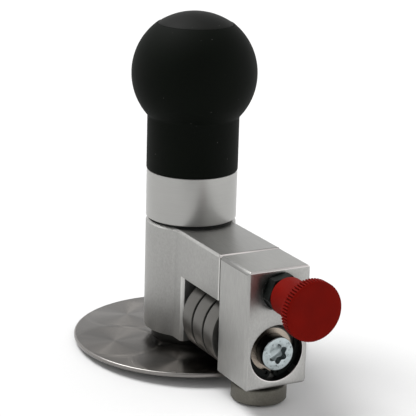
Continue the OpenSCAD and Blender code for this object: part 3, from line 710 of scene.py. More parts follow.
def build_housing(edges):
    """Column and arm as one body: full height round the column, and above the rollers along the arm."""
    wall_corner, end_corner = edges.housing_chamfer + 0.2 * MM, 0.3 * MM
    shared = [(WALL_X - wall_corner, -ARM_HALF)] + housing_flanks(edges.housing_blend)
    shared.append((WALL_X - wall_corner, ARM_HALF))
    lower = shared + [(WALL_X, ARM_HALF - wall_corner), (WALL_X, -ARM_HALF + wall_corner)]
    upper = shared + [(ARM_END - end_corner, ARM_HALF), (ARM_END, ARM_HALF - end_corner),
                      (ARM_END, -ARM_HALF + end_corner), (ARM_END - end_corner, -ARM_HALF)]
    inner = inset(upper, edges.housing_chamfer)
    kept = len(shared)
    rows = [(lower, BODY_BOTTOM), (lower, ARM_UNDER), (upper[kept:], ARM_UNDER),
            (upper, BODY_TOP - edges.housing_chamfer), (inner, BODY_TOP)]
    vertices, starts = [], []
    for points, z in rows:
        starts.append(len(vertices))
        vertices += [(x, y, z) for x, y in points]
    bottom, waist, under, brow, top = starts
    n_low, n_up = len(lower), len(upper)
    waist_of_upper = [waist + i for i in range(kept)] + [under + i for i in range(n_up - kept)]
    faces = [tuple(bottom + i for i in range(n_low))[::-1], tuple(top + i for i in range(n_up))]
    faces += [(bottom + i, bottom + (i + 1) % n_low, waist + (i + 1) % n_low, waist + i)
              for i in range(n_low)]
    faces += [(waist_of_upper[i], waist_of_upper[(i + 1) % n_up], brow + (i + 1) % n_up, brow + i)
              for i in range(n_up)]
    faces += [(brow + i, brow + (i + 1) % n_up, top + (i + 1) % n_up, top + i) for i in range(n_up)]
    faces.append(tuple([waist + kept - 1] + [under + i for i in range(n_up - kept)]
                       + [waist, waist + n_low - 1, waist + n_low - 2]))
    body = mesh_object("housing_body", vertices, faces)
    bearing_r, chamber_r = high("lower_bearing_outer_ring").x, 9.5 * MM
    ceiling = high("upper_bearing_outer_ring").z
    bore = lathe("bore_tool", stepped(BODY_BOTTOM - MM, (bearing_r, ceiling), (chamber_r, BODY_TOP + MM)), 96)
    pin_r, groove_turn = 3.2 * MM, 40
    rise = PLUNGER_Z - AXLE_Z
    floor_x = low("plunger_pin").x - 0.5 * MM
    slot = [(u, v + PLUNGER_Z) for u, v in arc((0, 0), pin_r, 90, 270, 16)]
    slot += arc((0, AXLE_Z), rise - pin_r, 90, 90 - groove_turn, 14)[1:]
    slot += arc((0, AXLE_Z), rise + pin_r, 90 - groove_turn, 90, 14)[:-1]
    cut(body, bore, prism("groove_tool", slot, floor_x, ARM_END + MM))

    def wall_edge(face):
        """The upright chamfers of the wall beside the rollers."""
        return (0.4 < face.normal.x < 0.9 and abs(face.normal.y) > 0.4 and abs(face.normal.z) < 0.1
                and face.center.x > WALL_X - 2 * MM)

    # painted highlight: the wall's upright chamfers get steel 1.75 times as pale
    paint_faces(body, 1, wall_edge)
    paint_faces(body, 2, lambda face: face.normal.z > 0.95 and face.center.z > ARM_UNDER)
    # painted highlight: the arm end's top chamfer is painted bright_edge
    paint_faces(body, 3, lambda face: face.normal.z > 0.6 and face.normal.x > 0.6)
    break_edges(body, 0.5 * edges.break_width)
    place(body, "frame", "machined_steel", ["housing"],
          "machined_steel", "strip_steel", "arm_top_steel", "bright_edge")


def build_collar():
    """The turned collar, whose narrow spigot goes up into the knob."""
    bottom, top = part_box("handle_collar")
    spigot_r, bore_r, edge = 11 * MM, high("handle_bushes").x, 0.35 * MM
    shoulder = low("ball_knob").z
    corners = [(bore_r, bottom.z, 0), (COLUMN_R, bottom.z, edge), (COLUMN_R, shoulder, edge),
               (spigot_r, shoulder, 0), (spigot_r, top.z, 0.8 * MM), (bore_r, top.z, 0)]
    collar = lathe("collar_sleeve", rounded(corners, closed=True, steps=4), 192, ring=True)
    place(collar, "handle", "turned_steel", ["handle_collar"])


def build_ball_knob(knobs):
    """The ball on its shank, hollow below for the collar's spigot, and the cap let into its top."""
    ball_r, shank_r = high("ball_knob").y, 18.35 * MM
    bottom, seat = low("ball_knob").z, high("ball_knob").z
    cap_r = high("knob_cap").x + 0.1 * MM
    ball_z = seat - sqrt(ball_r ** 2 - cap_r ** 2)
    fillet, foot_round = 2 * MM, 0.7 * MM
    turn_z = ball_z - sqrt((ball_r + fillet) ** 2 - (shank_r + fillet) ** 2)
    lean = degrees(asin((ball_z - turn_z) / (ball_r + fillet)))
    hollow_r, hollow_top = 11 * MM, high("handle_stud").z + 2 * MM
    plug_r, plug_z = 11.6 * MM, seat - 4 * MM
    lip = knobs.cap_groove
    profile = [(hollow_r, bottom)]
    profile += arc((shank_r - foot_round, bottom + foot_round), foot_round, -90, 0, 6)
    profile += arc((shank_r + fillet, turn_z), fillet, 180, 180 - lean, 8)
    profile += arc((0, ball_z), ball_r, -lean, degrees(acos(cap_r / ball_r)) - 0.4, 72)[1:]
    profile += [(cap_r - 0.2 * lip, seat - 0.5 * lip), (cap_r - lip, seat - 2.2 * lip),
                (plug_r, seat - 2.2 * lip), (plug_r, plug_z), (0, plug_z)]
    knob = lathe("ball_grip", [(0, hollow_top), (hollow_r, hollow_top)] + profile, 192)
    place(knob, "handle", "soft_touch_black", ["ball_knob"], angle=radians(40))
    r = cap_r - lip
    rise = high("knob_cap").z - seat
    dome_r = (r * r + rise * rise) / (2 * rise)
    half = degrees(asin(r / dome_r))
    dome = arc((0, seat + rise - dome_r), dome_r, 90 - half, 90, 28)
    profile = [(0, plug_z + 0.2 * MM), (plug_r, plug_z + 0.2 * MM), (plug_r, seat - 2 * lip),
               (r, seat - 2 * lip), (r, dome[0][1] - 0.3 * lip)] + dome[1:-1] + [(0, dome[-1][1])]
    cap = lathe("grip_cap", profile, 160)
    # painted highlight: the cap's finish is paler than the ball's, for the knob's lit top
    place(cap, "handle", "black_cap", ["knob_cap"], angle=radians(40))


def build_disc():
    """The guide disc with a round rim, countersunk below for its three screws."""
    radius, thick = high("guide_disc").x, high("guide_disc").z
    rim, screw_r, sink_r = 0.35 * thick, 1.5 * MM, 3 * MM
    profile = rounded([(0, 0, 0), (radius, 0, rim), (radius, thick, rim), (0, thick, 0)], steps=6)
    disc = lathe("guide_plate", profile, 288)
    sink = [(0, -MM), (sink_r, -MM), (sink_r, 0), (screw_r, screw_r), (screw_r, 2 * screw_r),
            (0, 2 * screw_r)]
    for at in DISC_SCREWS:
        cut(disc, lathe("countersink_tool", sink, 48, at=at))
    paint_faces(disc, 1, lambda face: Vector(face.center[:2]).length > radius - 1.02 * rim)
    place(disc, "guide", "brushed_disc", ["guide_disc"], "brushed_disc", "disc_rim")


def build_hub():
    """The disc's hub and spindle, turned from one bar, with a threaded end for its nut."""
    z0, top = low("disc_spindle").z, high("disc_spindle").z
    hub_r, hub_top = high("disc_spindle").x, BODY_BOTTOM - 0.3 * MM
    race_z, nut_z = low("lower_bearing_inner_ring").z, low("spindle_nut").z
    shoulder_r, shaft_r, pitch, tap_r = 6.5 * MM, 5 * MM, 1.25 * MM, 1.5 * MM
    profile = rounded([(0, z0, 0), (hub_r, z0, 0.2 * MM), (hub_r, hub_top - 0.8 * MM, 0.2 * MM),
                       (hub_r - 0.8 * MM, hub_top, 0.2 * MM), (shoulder_r, hub_top, 0),
                       (shoulder_r, race_z, 0.1 * MM), (shaft_r, race_z, 0), (shaft_r, nut_z, 0)], steps=3)
    for k in range(int((top - nut_z - 0.6 * MM) / pitch)):
        z = nut_z + k * pitch
        profile += [(shaft_r - 0.5 * MM, z + 0.3 * pitch), (shaft_r - 0.5 * MM, z + 0.5 * pitch),
                    (shaft_r, z + 0.9 * pitch)]
    profile += [(shaft_r - 0.6 * MM, top), (0, top)]
    hub = lathe("disc_hub", profile, 144)
    tap = [(0, z0 - MM), (tap_r, z0 - MM), (tap_r, z0 + 2.8 * MM), (0, z0 + 3.4 * MM)]
    for at in DISC_SCREWS:
        cut(hub, lathe("tap_tool", tap, 32, at=at))
    # painted shade: the whole hub is painted near black, as shade under the column
    place(hub, "guide", "turned_steel", ["disc_spindle"], "hub_steel")


def build_rollers():
    """Outer rings with round shoulders, raceway and seal steps, and ribbed seals."""
    relief, shoulder, axle_r = 0.34 * MM, 0.6 * MM, 5 * MM
    seal_width, seal_step, play = 2.2 * MM, 0.8 * MM, 0.05 * MM
    for i in (1, 2, 3):
        node = f"roller_{i}_outer_ring"
        x0, x1 = low(node).x + relief, high(node).x - relief
        radius = (high(node).z - low(node).z) / 2
        seal_r = radius - seal_width
        ball_r = (high(f"roller_{i}_balls").x - low(f"roller_{i}_balls").x) / 2 + play
        pitch, mid = (radius + axle_r) / 2, (x0 + x1) / 2
        inside = pitch + 0.69 * (ball_r - play)
        reach = degrees(acos((inside - pitch) / ball_r))
        profile = rounded([(seal_r, x0, 0), (radius, x0, shoulder), (radius, x1, shoulder), (seal_r, x1, 0)],
                          steps=6)
        profile += [(seal_r, x1 - seal_step), (inside, x1 - seal_step)]
        profile += arc((pitch, mid), ball_r, reach, -reach, 14)
        profile += [(inside, x0 + seal_step), (seal_r, x0 + seal_step)]
        ring = on_axle(f"roller_{i}_tread", profile, 176, ring=True)
        # painted shade: the rings' faces and round shoulders are painted near black, darkening the gaps
        # between the rollers
        paint_faces(ring, 1, lambda face: abs(face.normal.x) > 0.45)
        place(ring, f"roller_{i}", "roller_steel", [node], "roller_steel", "ring_face")
        hole, rim_r = 2 * pitch - inside + 0.15 * MM, seal_r - 0.02 * MM
        seals = []
        for side, face in ((-1, x0 + 0.06 * MM), (1, x1 - 0.06 * MM)):
            inner, dip = face - side * 0.7 * MM, face - side * 0.3 * MM
            profile = [(hole, inner), (hole, face), (hole + 0.7 * MM, face), (hole + 1.0 * MM, dip),
                       (seal_r - 1.0 * MM, dip), (seal_r - 0.7 * MM, face), (rim_r, face), (rim_r, inner)]
            seals.append(on_axle(f"seal_{i}_{side}", profile, 128, ring=True))
        pair = joined(f"roller_{i}_lips", seals)
        place(pair, f"roller_{i}", "black_polymer", [f"roller_{i}_seals"])


def joined(name, objects):
    """Several objects' meshes as one object."""
    bm = bmesh.new()
    for obj in objects:
        bm.from_mesh(obj.data)
        discard(obj)
    return from_bmesh(name, bm)


def chamfered_block(name, low_corner, high_corner, along_x, along_y, along_z):
    """A box whose edges along each axis have their own chamfer, as the hull of its planes' corners."""
    centre = (low_corner + high_corner) / 2
    half = (high_corner - low_corner) / 2
    planes = []
    for i in range(3):
        for sign in (-1, 1):
            normal = Vector((0, 0, 0))
            normal[i] = sign
            planes.append((normal, half[i]))
    for (i, j), width in (((1, 2), along_x), ((0, 2), along_y), ((0, 1), along_z)):
        for a in (-1, 1):
            for b in (-1, 1):
                normal = Vector((0, 0, 0))
                normal[i], normal[j] = a, b
                planes.append((normal, half[i] + half[j] - width))
    corners = []
    for trio in combinations(planes, 3):
        grid = Matrix([plane[0] for plane in trio])
        if abs(grid.determinant()) < 1e-6:
            continue
        point = grid.inverted() @ Vector([plane[1] for plane in trio])
        if all(point.dot(normal) <= reach + 1e-8 for normal, reach in planes):
            corners.append(point + centre)
    bm = bmesh.new()
    for corner in corners:
        bm.verts.new(corner)
    bmesh.ops.remove_doubles(bm, verts=bm.verts, dist=1e-6)
    bmesh.ops.convex_hull(bm, input=bm.verts)
    bmesh.ops.dissolve_limit(bm, angle_limit=radians(0.5), verts=bm.verts, edges=bm.edges)
    block = from_bmesh(name, bm)
    face_outwards(block)
    return block


def build_block(edges):
    """The end block with its stepped bore, plunger thread and foot screw hole."""
    block = chamfered_block("end_block_body", BLOCK_LOW, BLOCK_HIGH, edges.block_long, edges.block_cross,
                            edges.block_upright)
    x0, x1 = BLOCK_LOW.x, BLOCK_HIGH.x
    seat0, seat1 = low("pivot_bearing_outer_ring").x, high("pivot_bearing_outer_ring").x
    seat_r = high("pivot_bearing_outer_ring").y
    bore_r, lip = edges.bore_d / 2, 0.3 * MM
    groove_r, groove_x = high("block_circlip").y + 0.05 * MM, high("block_circlip").x + 0.05 * MM
    hole_r, pin_r, thread_r, tap_r = 7 * MM, 3.2 * MM, 6 * MM, 2.5 * MM
    bore = stepped(x0 - MM, (hole_r, seat0), (seat_r, seat1), (groove_r, groove_x), (bore_r, x1 - lip))[:-1]
    bore += [(bore_r + lip + MM, x1 + MM), (0, x1 + MM)]
    thread = stepped(x0 - MM, (pin_r, low("plunger_sleeve").x), (thread_r, x1 + MM))
    foot = middle("foot_screw")
    tap = stepped(BLOCK_LOW.z - MM, (tap_r, high("foot_screw").z))
    cut(block, on_axle("bore_tool", bore, 160), on_plunger("thread_tool", thread, 96),
        lathe("foot_tool", tap, 48, at=(foot.x, foot.y, 0)))

    def mouth(face):
        """The bore's chamfered mouth."""
        return (face.center.x > x1 - 1.1 * lip and 0.3 < face.normal.x < 0.9
                and from_axle(face) < bore_r + 1.5 * lip)

    def bore_wall(face):
        """Everything inside the bore."""
        return from_axle(face) < groove_r + 0.1 * MM and x0 + 0.2 * MM < face.center.x < x1 - lip

    # painted highlight: the bore's chamfered mouth is painted bright_edge
    paint_faces(block, 1, mouth)
    # painted shade: the bore's wall is painted near black with bearing_steel
    paint_faces(block, 2, bore_wall)
    paint_faces(block, 3, lambda face: face.normal.z > 0.95 and face.center.z > BODY_TOP - 0.1 * MM)
    # painted light: the front face is painted paler towards its foot
    paint_faces(block, 4, lambda face: face.normal.x > 0.95 and face.center.x > x1 - 0.1 * MM)
    # painted highlight: the top-front chamfer is painted bright_edge
    paint_faces(block, 1, lambda face: face.normal.x > 0.6 and face.normal.z > 0.6)
    # painted shade: the chamfer along the -Y top edge gets a darker copy of the steel, dimming its highlight
    paint_faces(block, 5, lambda face: face.normal.y < -0.6 and face.normal.z > 0.6)
    # painted highlight: every edge round is painted bright_edge
    break_edges(block, edges.break_width, paint=1)
    place(block, "block", "block_steel", ["end_block"], "block_steel", "bright_edge", "bearing_steel",
          "block_top_steel", "block_front_steel", "chamfer_steel")


def build_axle_screw():
    """Low-headed screw with a six-lobed socket."""
    tip, face_x = low("axle_screw").x, high("axle_screw").x
    head_r, shank_r, seat = high("axle_screw").y, 4 * MM, face_x - 5 * MM
    profile = rounded([(0, tip, 0), (shank_r, tip, 0.6 * MM), (shank_r, seat, 0), (head_r, seat, 0.2 * MM),
                       (head_r, face_x, 0.45 * MM), (0, face_x, 0)], steps=5)
    screw = on_axle("axle_bolt", profile, 128)
    lobe_r, waist_r, depth, points = 3.97 * MM, 2.85 * MM, 3 * MM, 144
    outline = []
    for k in range(points):
        t = 2 * pi * k / points
        radius = waist_r + (lobe_r - waist_r) * (0.5 + 0.5 * cos(6 * t)) ** 0.8
        outline.append((radius * sin(t), AXLE_Z + radius * cos(t)))
    cut(screw, prism("socket_tool", outline, face_x - depth, face_x + MM))
    # the head's side and, below, its edge rounds are painted nearly black
    paint_faces(screw, 1, lambda face: abs(face.normal.x) < 0.3 and from_axle(face) > lobe_r + 0.2 * MM)
    # painted shade: the socket's walls are painted darker than the zinc
    paint_faces(screw, 2, lambda face: abs(face.normal.x) < 0.5 and from_axle(face) < lobe_r + 0.1 * MM
                and face.center.x > face_x - depth - 0.1 * MM)
    break_edges(screw, 0.16 * MM, radians(50), paint=1)
    place(screw, "frame", "zinc_plate", ["axle_screw"], "zinc_plate", "screw_side", "socket_steel")


def build_plunger_sleeve():
    """Threaded sleeve with a hexagon, blackened."""
    x0, x1 = low("plunger_sleeve").x, high("plunger_sleeve").x
    washer = high("plunger_washer").x
    corner = (high("plunger_sleeve").z - PLUNGER_Z) / cos(HEX_LEAN)
    flats = corner * cos(radians(30))
    turns = [radians(60 * k) + HEX_LEAN for k in range(6)]
    hexagon = [(corner * sin(turn), PLUNGER_Z + corner * cos(turn)) for turn in turns]
    body = prism("plunger_body", hexagon, washer, x1)
    under_r = corner - 0.3 * MM
    turned = [(0, washer - MM), (under_r, washer - MM), (under_r, washer), (corner + MM, washer + 0.4 * MM),
              (corner + MM, x1 - 0.6 * MM), (flats + 0.3 * MM, x1), (0, x1)]
    cut(body, on_plunger("turn_tool", turned, 120), operation="INTERSECT")
    pitch, core_r, crest_r = 1.5 * MM, 5.25 * MM, 6 * MM
    shank = [(0, x0), (core_r, x0)]
    for k in range(int((washer - x0) / pitch)):
        base = x0 + 0.3 * MM + k * pitch
        shank += [(core_r, base), (crest_r, base + 0.6 * MM), (crest_r, base + 0.8 * MM),
                  (core_r, base + 1.4 * MM)]
    shank += [(core_r, washer + 0.3 * MM), (0, washer + 0.3 * MM)]
    cut(body, on_plunger("shank", shank, 96), operation="UNION")
    pin_r, spring_r, stem_r = 3.05 * MM, 4.5 * MM, 2.05 * MM
    collar = low("plunger_spring").x - 1.7 * MM
    hollow = stepped(x0 - MM, (pin_r, collar), (spring_r, x1 - 2 * MM), (stem_r, x1 + MM))
    cut(body, on_plunger("hollow_tool", hollow, 96))
    break_edges(body, 0.08 * MM, radians(45))
    place(body, "block", "black_oxide", ["plunger_sleeve"])


class Rule:
    """A geometry node tree with named inputs, which ends in Realize Instances and Set Material."""

    def __init__(self, name, inputs):
        self.tree = bpy.data.node_groups.new(name, "GeometryNodeTree")
        face = self.tree.interface
        for label, kind in (("Geometry", "Geometry"), *inputs, ("Material", "Material")):
            face.new_socket(label, in_out="INPUT", socket_type=f"NodeSocket{kind}")
        face.new_socket("Geometry", in_out="OUTPUT", socket_type="NodeSocketGeometry")
        self.given = self.tree.nodes.new("NodeGroupInput").outputs

    def add(self, kind, inputs):
        """Adds a node, feeds its named inputs and gives its first output."""
        made = self.tree.nodes.new(kind)
        feed(self.tree.links, [made.inputs[name] for name in inputs], inputs.values())
        return made.outputs[0]

    def math(self, operation, a, b=0.0):
        made = self.tree.nodes.new("ShaderNodeMath")
        made.operation = operation
        feed(self.tree.links, made.inputs, (a, b))
        return made.outputs[0]

    def done(self, geometry):
        real = self.add("GeometryNodeRealizeInstances", {"Geometry": geometry})
        painted = self.add("GeometryNodeSetMaterial", {"Geometry": real, "Material": self.given["Material"]})
        self.tree.links.new(painted, self.tree.nodes.new("NodeGroupOutput").inputs[0])
        return self.tree


def run_tree(obj, tree, values):
    """Runs a node tree on an object with named inputs and keeps the plain mesh, ready for place()."""
    step = obj.modifiers.new("rule", "NODES")
    step.node_group = tree
    for item in tree.interface.items_tree:
        if item.item_type == "SOCKET" and item.in_out == "INPUT" and item.name in values:
            step[item.identifier] = values[item.name]
    applied(obj).data.materials.clear()
    return obj


def knurl_tree():
    """Presses the gaps between grip teeth into a flange turned about X."""
    rule = Rule("grip_teeth", [(name, "Float") for name in
                               ("Teeth", "Depth", "Axis Height", "Start", "End", "Root Radius", "Gap Share")])
    math, given = rule.math, rule.given
    split = rule.tree.nodes.new("ShaderNodeSeparateXYZ")
    rule.tree.links.new(rule.add("GeometryNodeInputPosition", {}), split.inputs[0])
    x, y = split.outputs[0], split.outputs[1]
    z = math("SUBTRACT", split.outputs[2], given["Axis Height"])
    radius = math("SQRT", math("ADD", math("MULTIPLY", y, y), math("MULTIPLY", z, z)))
    turns = math("ADD", math("DIVIDE", math("ARCTAN2", y, z), 2 * pi), 1.0)
    in_tooth = math("FRACT", math("ADD", math("MULTIPLY", turns, given["Teeth"]), 0.001))
    in_gap = math("LESS_THAN", in_tooth, given["Gap Share"])
    along = math("MULTIPLY", math("GREATER_THAN", x, given["Start"]), math("LESS_THAN", x, given["End"]))
    outer = math("GREATER_THAN", radius, given["Root Radius"])
    push = math("MULTIPLY", math("MULTIPLY", in_gap, math("MULTIPLY", along, outer)), given["Depth"])
    inward = math("DIVIDE", math("MULTIPLY", push, -1.0), radius)
    parts = {"Y": math("MULTIPLY", y, inward), "Z": math("MULTIPLY", z, inward)}
    offset = rule.add("ShaderNodeCombineXYZ", parts)
    return rule.done(rule.add("GeometryNodeSetPosition", {"Geometry": given["Geometry"], "Offset": offset}))


def build_pull_knob(knobs):
    """Mushroom pull knob: neck, flared back and a flange with grip teeth."""
    x0, x1, flange_r = low("pull_knob").x, high("pull_knob").x, high("pull_knob").y
    neck_r, back, round_r = 7.4 * MM, x1 - 4.6 * MM, 1.1 * MM
    hollow_r, hollow_x = 2 * MM, x0 + 10 * MM
    neck = [(hollow_r, x0, 0), (neck_r, x0, 0.5 * MM), (neck_r - 0.15 * MM, back - 2.2 * MM, 2 * MM),
            (neck_r + 1.6 * MM, back, 0.6 * MM), (flange_r, back, 0.25 * MM), (flange_r, back + MM, 0)]
    profile = [(0, hollow_x), (hollow_r, hollow_x), (hollow_r, x0)] + rounded(neck, steps=5)[1:-1]
    profile += [(flange_r, back + 0.45 * MM), (flange_r, x1 - round_r - 0.25 * MM)]
    profile += arc((flange_r - round_r, x1 - round_r), round_r, 0, 80, 7)
    profile += [(0.8 * flange_r, x1 - 0.03 * MM), (0.5 * flange_r, x1 - 0.16 * MM), (0, x1 - 0.25 * MM)]
    knob = on_plunger("pull_grip", profile, knobs.teeth * 5)
    run_tree(knob, knurl_tree(), {
        "Teeth": float(knobs.teeth), "Depth": knobs.tooth_depth, "Axis Height": PLUNGER_Z,
        "Start": back - 0.1 * MM, "End": x1 - 0.55 * round_r, "Root Radius": flange_r - 0.45 * MM,
        "Gap Share": 0.39, "Material": FINISHES["red_plastic"]})
    place(knob, "plunger", "red_plastic", ["pull_knob"], angle=radians(32))


def build_foot_roller():
    """Ground foot roller with fine chamfers, bored for its bush and screw head."""
    centre = middle("foot_roller")
    z0, z1 = low("foot_roller").z, high("foot_roller").z
    radius = (high("foot_roller").x - low("foot_roller").x) / 2
    bush_r, head_r, head_z = 5.5 * MM, 6.5 * MM, low("foot_bush").z
    edge, soft = 0.5 * MM, 0.1 * MM
    corners = [(head_r, z0, 2 * soft), (radius - edge, z0, soft), (radius, z0 + edge, soft),
               (radius, z1 - edge, soft), (radius - edge, z1, soft), (bush_r, z1, soft),
               (bush_r, head_z, 0), (head_r, head_z, 0)]
    profile = rounded(corners, closed=True, steps=3)
    foot = lathe("foot_wheel", profile, 144, ring=True, at=(centre.x, centre.y, 0))
    place(foot, "foot", "foot_steel", ["foot_roller"])


def spring_tree():
    """Winds a round wire about X."""
    rule = Rule("coil_spring", [("Turns", "Float"), ("Radius", "Float"), ("Length", "Float"),
                                ("Wire", "Float"), ("Place", "Vector")])
    given = rule.given
    coil = rule.add("GeometryNodeCurveSpiral", {
        "Resolution": 40, "Rotations": given["Turns"], "Start Radius": given["Radius"],
        "End Radius": given["Radius"], "Height": given["Length"]})
    wire = rule.add("GeometryNodeCurvePrimitiveCircle", {"Resolution": 12, "Radius": given["Wire"]})
    sweep = rule.add("GeometryNodeCurveToMesh", {"Curve": coil, "Profile Curve": wire, "Fill Caps": True})
    return rule.done(rule.add("GeometryNodeTransform", {
        "Geometry": sweep, "Rotation": (0, pi / 2, 0), "Translation": given["Place"]}))


def build_spring():
    """The plunger's spring, wound along its axis."""
    x0, x1 = low("plunger_spring").x, high("plunger_spring").x
    wire = 0.45 * MM
    coil = mesh_object("plunger_coil", [(x0, 0, PLUNGER_Z)], [])
    run_tree(coil, spring_tree(), {
        "Turns": 7.0, "Radius": high("plunger_spring").y - wire, "Length": x1 - x0 - 2 * wire, "Wire": wire,
        "Place": (x0 + wire, 0.0, PLUNGER_Z), "Material": FINISHES["ball_steel"]})
    face_outwards(coil)
    place(coil, "block", "ball_steel", ["plunger_spring"], angle=radians(60))
    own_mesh(coil)


def ball_tree():
    """Sets balls evenly on a circle, then turns it and puts it in its place."""
    rule = Rule("ball_row", [("Count", "Int"), ("Pitch Radius", "Float"), ("Ball Radius", "Float"),
                             ("Turn", "Vector"), ("Place", "Vector")])
    given = rule.given
    ring = rule.add("GeometryNodeMeshCircle", {"Vertices": given["Count"], "Radius": given["Pitch Radius"]})
    ball = rule.add("GeometryNodeMeshUVSphere", {"Segments": 32, "Rings": 16, "Radius": given["Ball Radius"]})
    balls = rule.add("GeometryNodeInstanceOnPoints", {"Points": ring, "Instance": ball})
    return rule.done(rule.add("GeometryNodeTransform", {
        "Geometry": balls, "Rotation": given["Turn"], "Translation": given["Place"]}))


BALL_SETS = (("lower_bearing_balls", "guide", 11, "Z"), ("upper_bearing_balls", "guide", 11, "Z"),
             ("roller_1_balls", "roller_1", 10, "X"), ("roller_2_balls", "roller_2", 10, "X"),
             ("roller_3_balls", "roller_3", 10, "X"), ("pivot_bearing_balls", "block", 10, "X"))


def build_balls():
    """The balls of every bearing."""
    tree = ball_tree()
    for node, body, count, axis in BALL_SETS:
        size, centre = high(node) - low(node), middle(node)
        upright = axis == "Z"
        ball_r = (size.z if upright else size.x) / 2
        at = (0.0, 0.0, centre.z) if upright else (centre.x, 0.0, AXLE_Z)
        reach = low(node).x if upright else low(node).z - AXLE_Z
        row = mesh_object(node.replace("_balls", "_ball_row"), [at], [])
        run_tree(row, tree, {
            "Count": count, "Pitch Radius": -reach - ball_r, "Ball Radius": ball_r,
            "Turn": (0.0, 0.0, 0.0) if upright else (0.0, pi / 2, 0.0), "Place": at,
            "Material": FINISHES["ball_steel"]})
        place(row, body, "ball_steel", [node])


def finish_inner_pieces():
    """Gives every CAD node that still shows its own finish, by its slot in the record."""
    slots = {row["node"]: row["material_slot"] for row in frame["record"]["subparts"]}
    for name, obj in frame["nodes"].items():
        if obj.hide_render:
            continue
        obj.data.materials.clear()
        obj.data.materials.append(FINISHES[slots[name]])


# ---- stage ----

def camera_axes(stage):
    """The camera's right, up and backward directions."""
    back = Vector((sin(stage.azimuth) * cos(stage.elevation), -cos(stage.azimuth) * cos(stage.elevation),
                   sin(stage.elevation)))
    right = Vector((cos(stage.azimuth), sin(stage.azimuth), 0))
    up = back.cross(right)
    turned_right = cos(stage.roll) * right + sin(stage.roll) * up
    turned_up = -sin(stage.roll) * right + cos(stage.roll) * up
    return turned_right, turned_up, back


def build_camera(stage):
    """A long lens that looks down on the tool from its block's side."""
    right, up, back = camera_axes(stage)
    aside = Vector((cos(stage.azimuth), sin(stage.azimuth), 0)) * stage.aim_side
    stands_at = aside + Vector((0, 0, stage.aim_height)) + back * stage.distance
    camera = bpy.data.cameras.new("camera")
    camera.lens = stage.lens
    camera.sensor_width = 36
    camera.shift_x, camera.shift_y = 0.02125, -0.00343
    camera.clip_start = 0.01
    camera.dof.use_dof = False
    obj = linked("camera", camera)
    obj.matrix_world = Matrix.Translation(stands_at) @ Matrix((right, up, back)).transposed().to_4x4()
    bpy.context.scene.camera = obj


def build_floor(stage):
    """A pale floor under the tool, which stands on its foot roller and the disc's far rim."""
    foot_z, foot_x = low("foot_roller").z, low("foot_roller").x
    rim_x = low("guide_disc").x
    slope = foot_z / (foot_x - rim_x)
    reach = 6.0
    corners = [(x, y, slope * (x - rim_x)) for x, y in
               ((-reach, -reach), (reach, -reach), (reach, reach), (-reach, reach))]
    floor = mesh_object("floor", corners, [(0, 1, 2, 3)])
    paper = Finish("floor_paper", stage.floor, 0.75, specular=0.15)
    fibres = paper.noise(700, detail=3)
    paper.vary(fibres, 0.005).raised(fibres, 0.002 * MM)
    floor.data.materials.append(paper.done())


def build_lights(stage):
    """A soft key from above on the left, in a white surround that is dimmer overhead and round the camera."""
    right, _, back = camera_axes(stage)
    level_back = Vector((back.x, back.y, 0)).normalized()
    aim = -0.62 * right - 0.38 * level_back + Vector((0, 0, 1.3))
    sun = bpy.data.lights.new("key", "SUN")
    sun.energy = stage.sun
    sun.angle = radians(30)
    linked("key", sun).rotation_euler = aim.to_track_quat("Z", "Y").to_euler()
    world = bpy.data.worlds.new("studio")
    world.use_nodes = True
    nodes, links = world.node_tree.nodes, world.node_tree.links
    surround = nodes["Background"]
    surround.inputs["Strength"].default_value = stage.sky
    direction = nodes.new("ShaderNodeTexCoord").outputs["Generated"]

    def ramp_along(axis, *stops):
        """A grey that follows the direction's share along axis, through the given stops."""
        facing = nodes.new("ShaderNodeVectorMath")
        facing.operation = "DOT_PRODUCT"
        feed(links, facing.inputs, (direction, axis))
        ramp = nodes.new("ShaderNodeValToRGB")
        ramp.color_ramp.interpolation = "EASE"
        for element, (at, grey) in zip(ramp.color_ramp.elements, stops):
            element.position, element.color = at, (grey, grey, grey, 1)
        links.new(facing.outputs["Value"], ramp.inputs[0])
        return ramp.outputs[0]

    behind_camera = (level_back + 0.1 * right + Vector((0, 0, 0.35))).normalized()
    shade = ramp_along((0, 0, 1), (0.28, 1.0), (0.8, 0.42))
    for other in (ramp_along(behind_camera, (0.8, 1.0), (0.97, 0.6)),
                  ramp_along(right, (0.05, 0.76), (0.8, 1.0))):
        both = nodes.new("ShaderNodeVectorMath")
        both.operation = "MULTIPLY"
        feed(links, both.inputs, (shade, other))
        shade = both.outputs["Vector"]
    links.new(shade, surround.inputs["Color"])
    bpy.context.scene.world = world
    bpy.context.scene.view_settings.view_transform = "Standard"


# ---- operators and panel ----

class ROLLER_OT_stage(bpy.types.Operator):
    """Build the camera, floor and light"""
    bl_idname = "roller.stage"
    bl_label = "Stage"
    bl_options = {"REGISTER", "UNDO"}

    def execute(self, context):
        build_camera(context.scene.roller_stage)
        build_floor(context.scene.roller_stage)
        build_lights(context.scene.roller_stage)
        return {"FINISHED"}


class ROLLER_OT_finishes(bpy.types.Operator):
    """Make every procedural material"""
    bl_idname = "roller.finishes"
    bl_label = "Finishes"
    bl_options = {"REGISTER", "UNDO"}

    def execute(self, context):
        build_finishes(context.scene.roller_finish)
        return {"FINISHED"}


class ROLLER_OT_housing(bpy.types.Operator):
    """Build the column and arm"""
    bl_idname = "roller.housing"
    bl_label = "Housing"
    bl_options = {"REGISTER", "UNDO"}

    def execute(self, context):
        build_housing(context.scene.roller_edges)
        return {"FINISHED"}


class ROLLER_OT_collar(bpy.types.Operator):
    """Build the turned collar under the knob"""
    bl_idname = "roller.collar"
    bl_label = "Collar"
    bl_options = {"REGISTER", "UNDO"}

    def execute(self, context):
        build_collar()
        return {"FINISHED"}


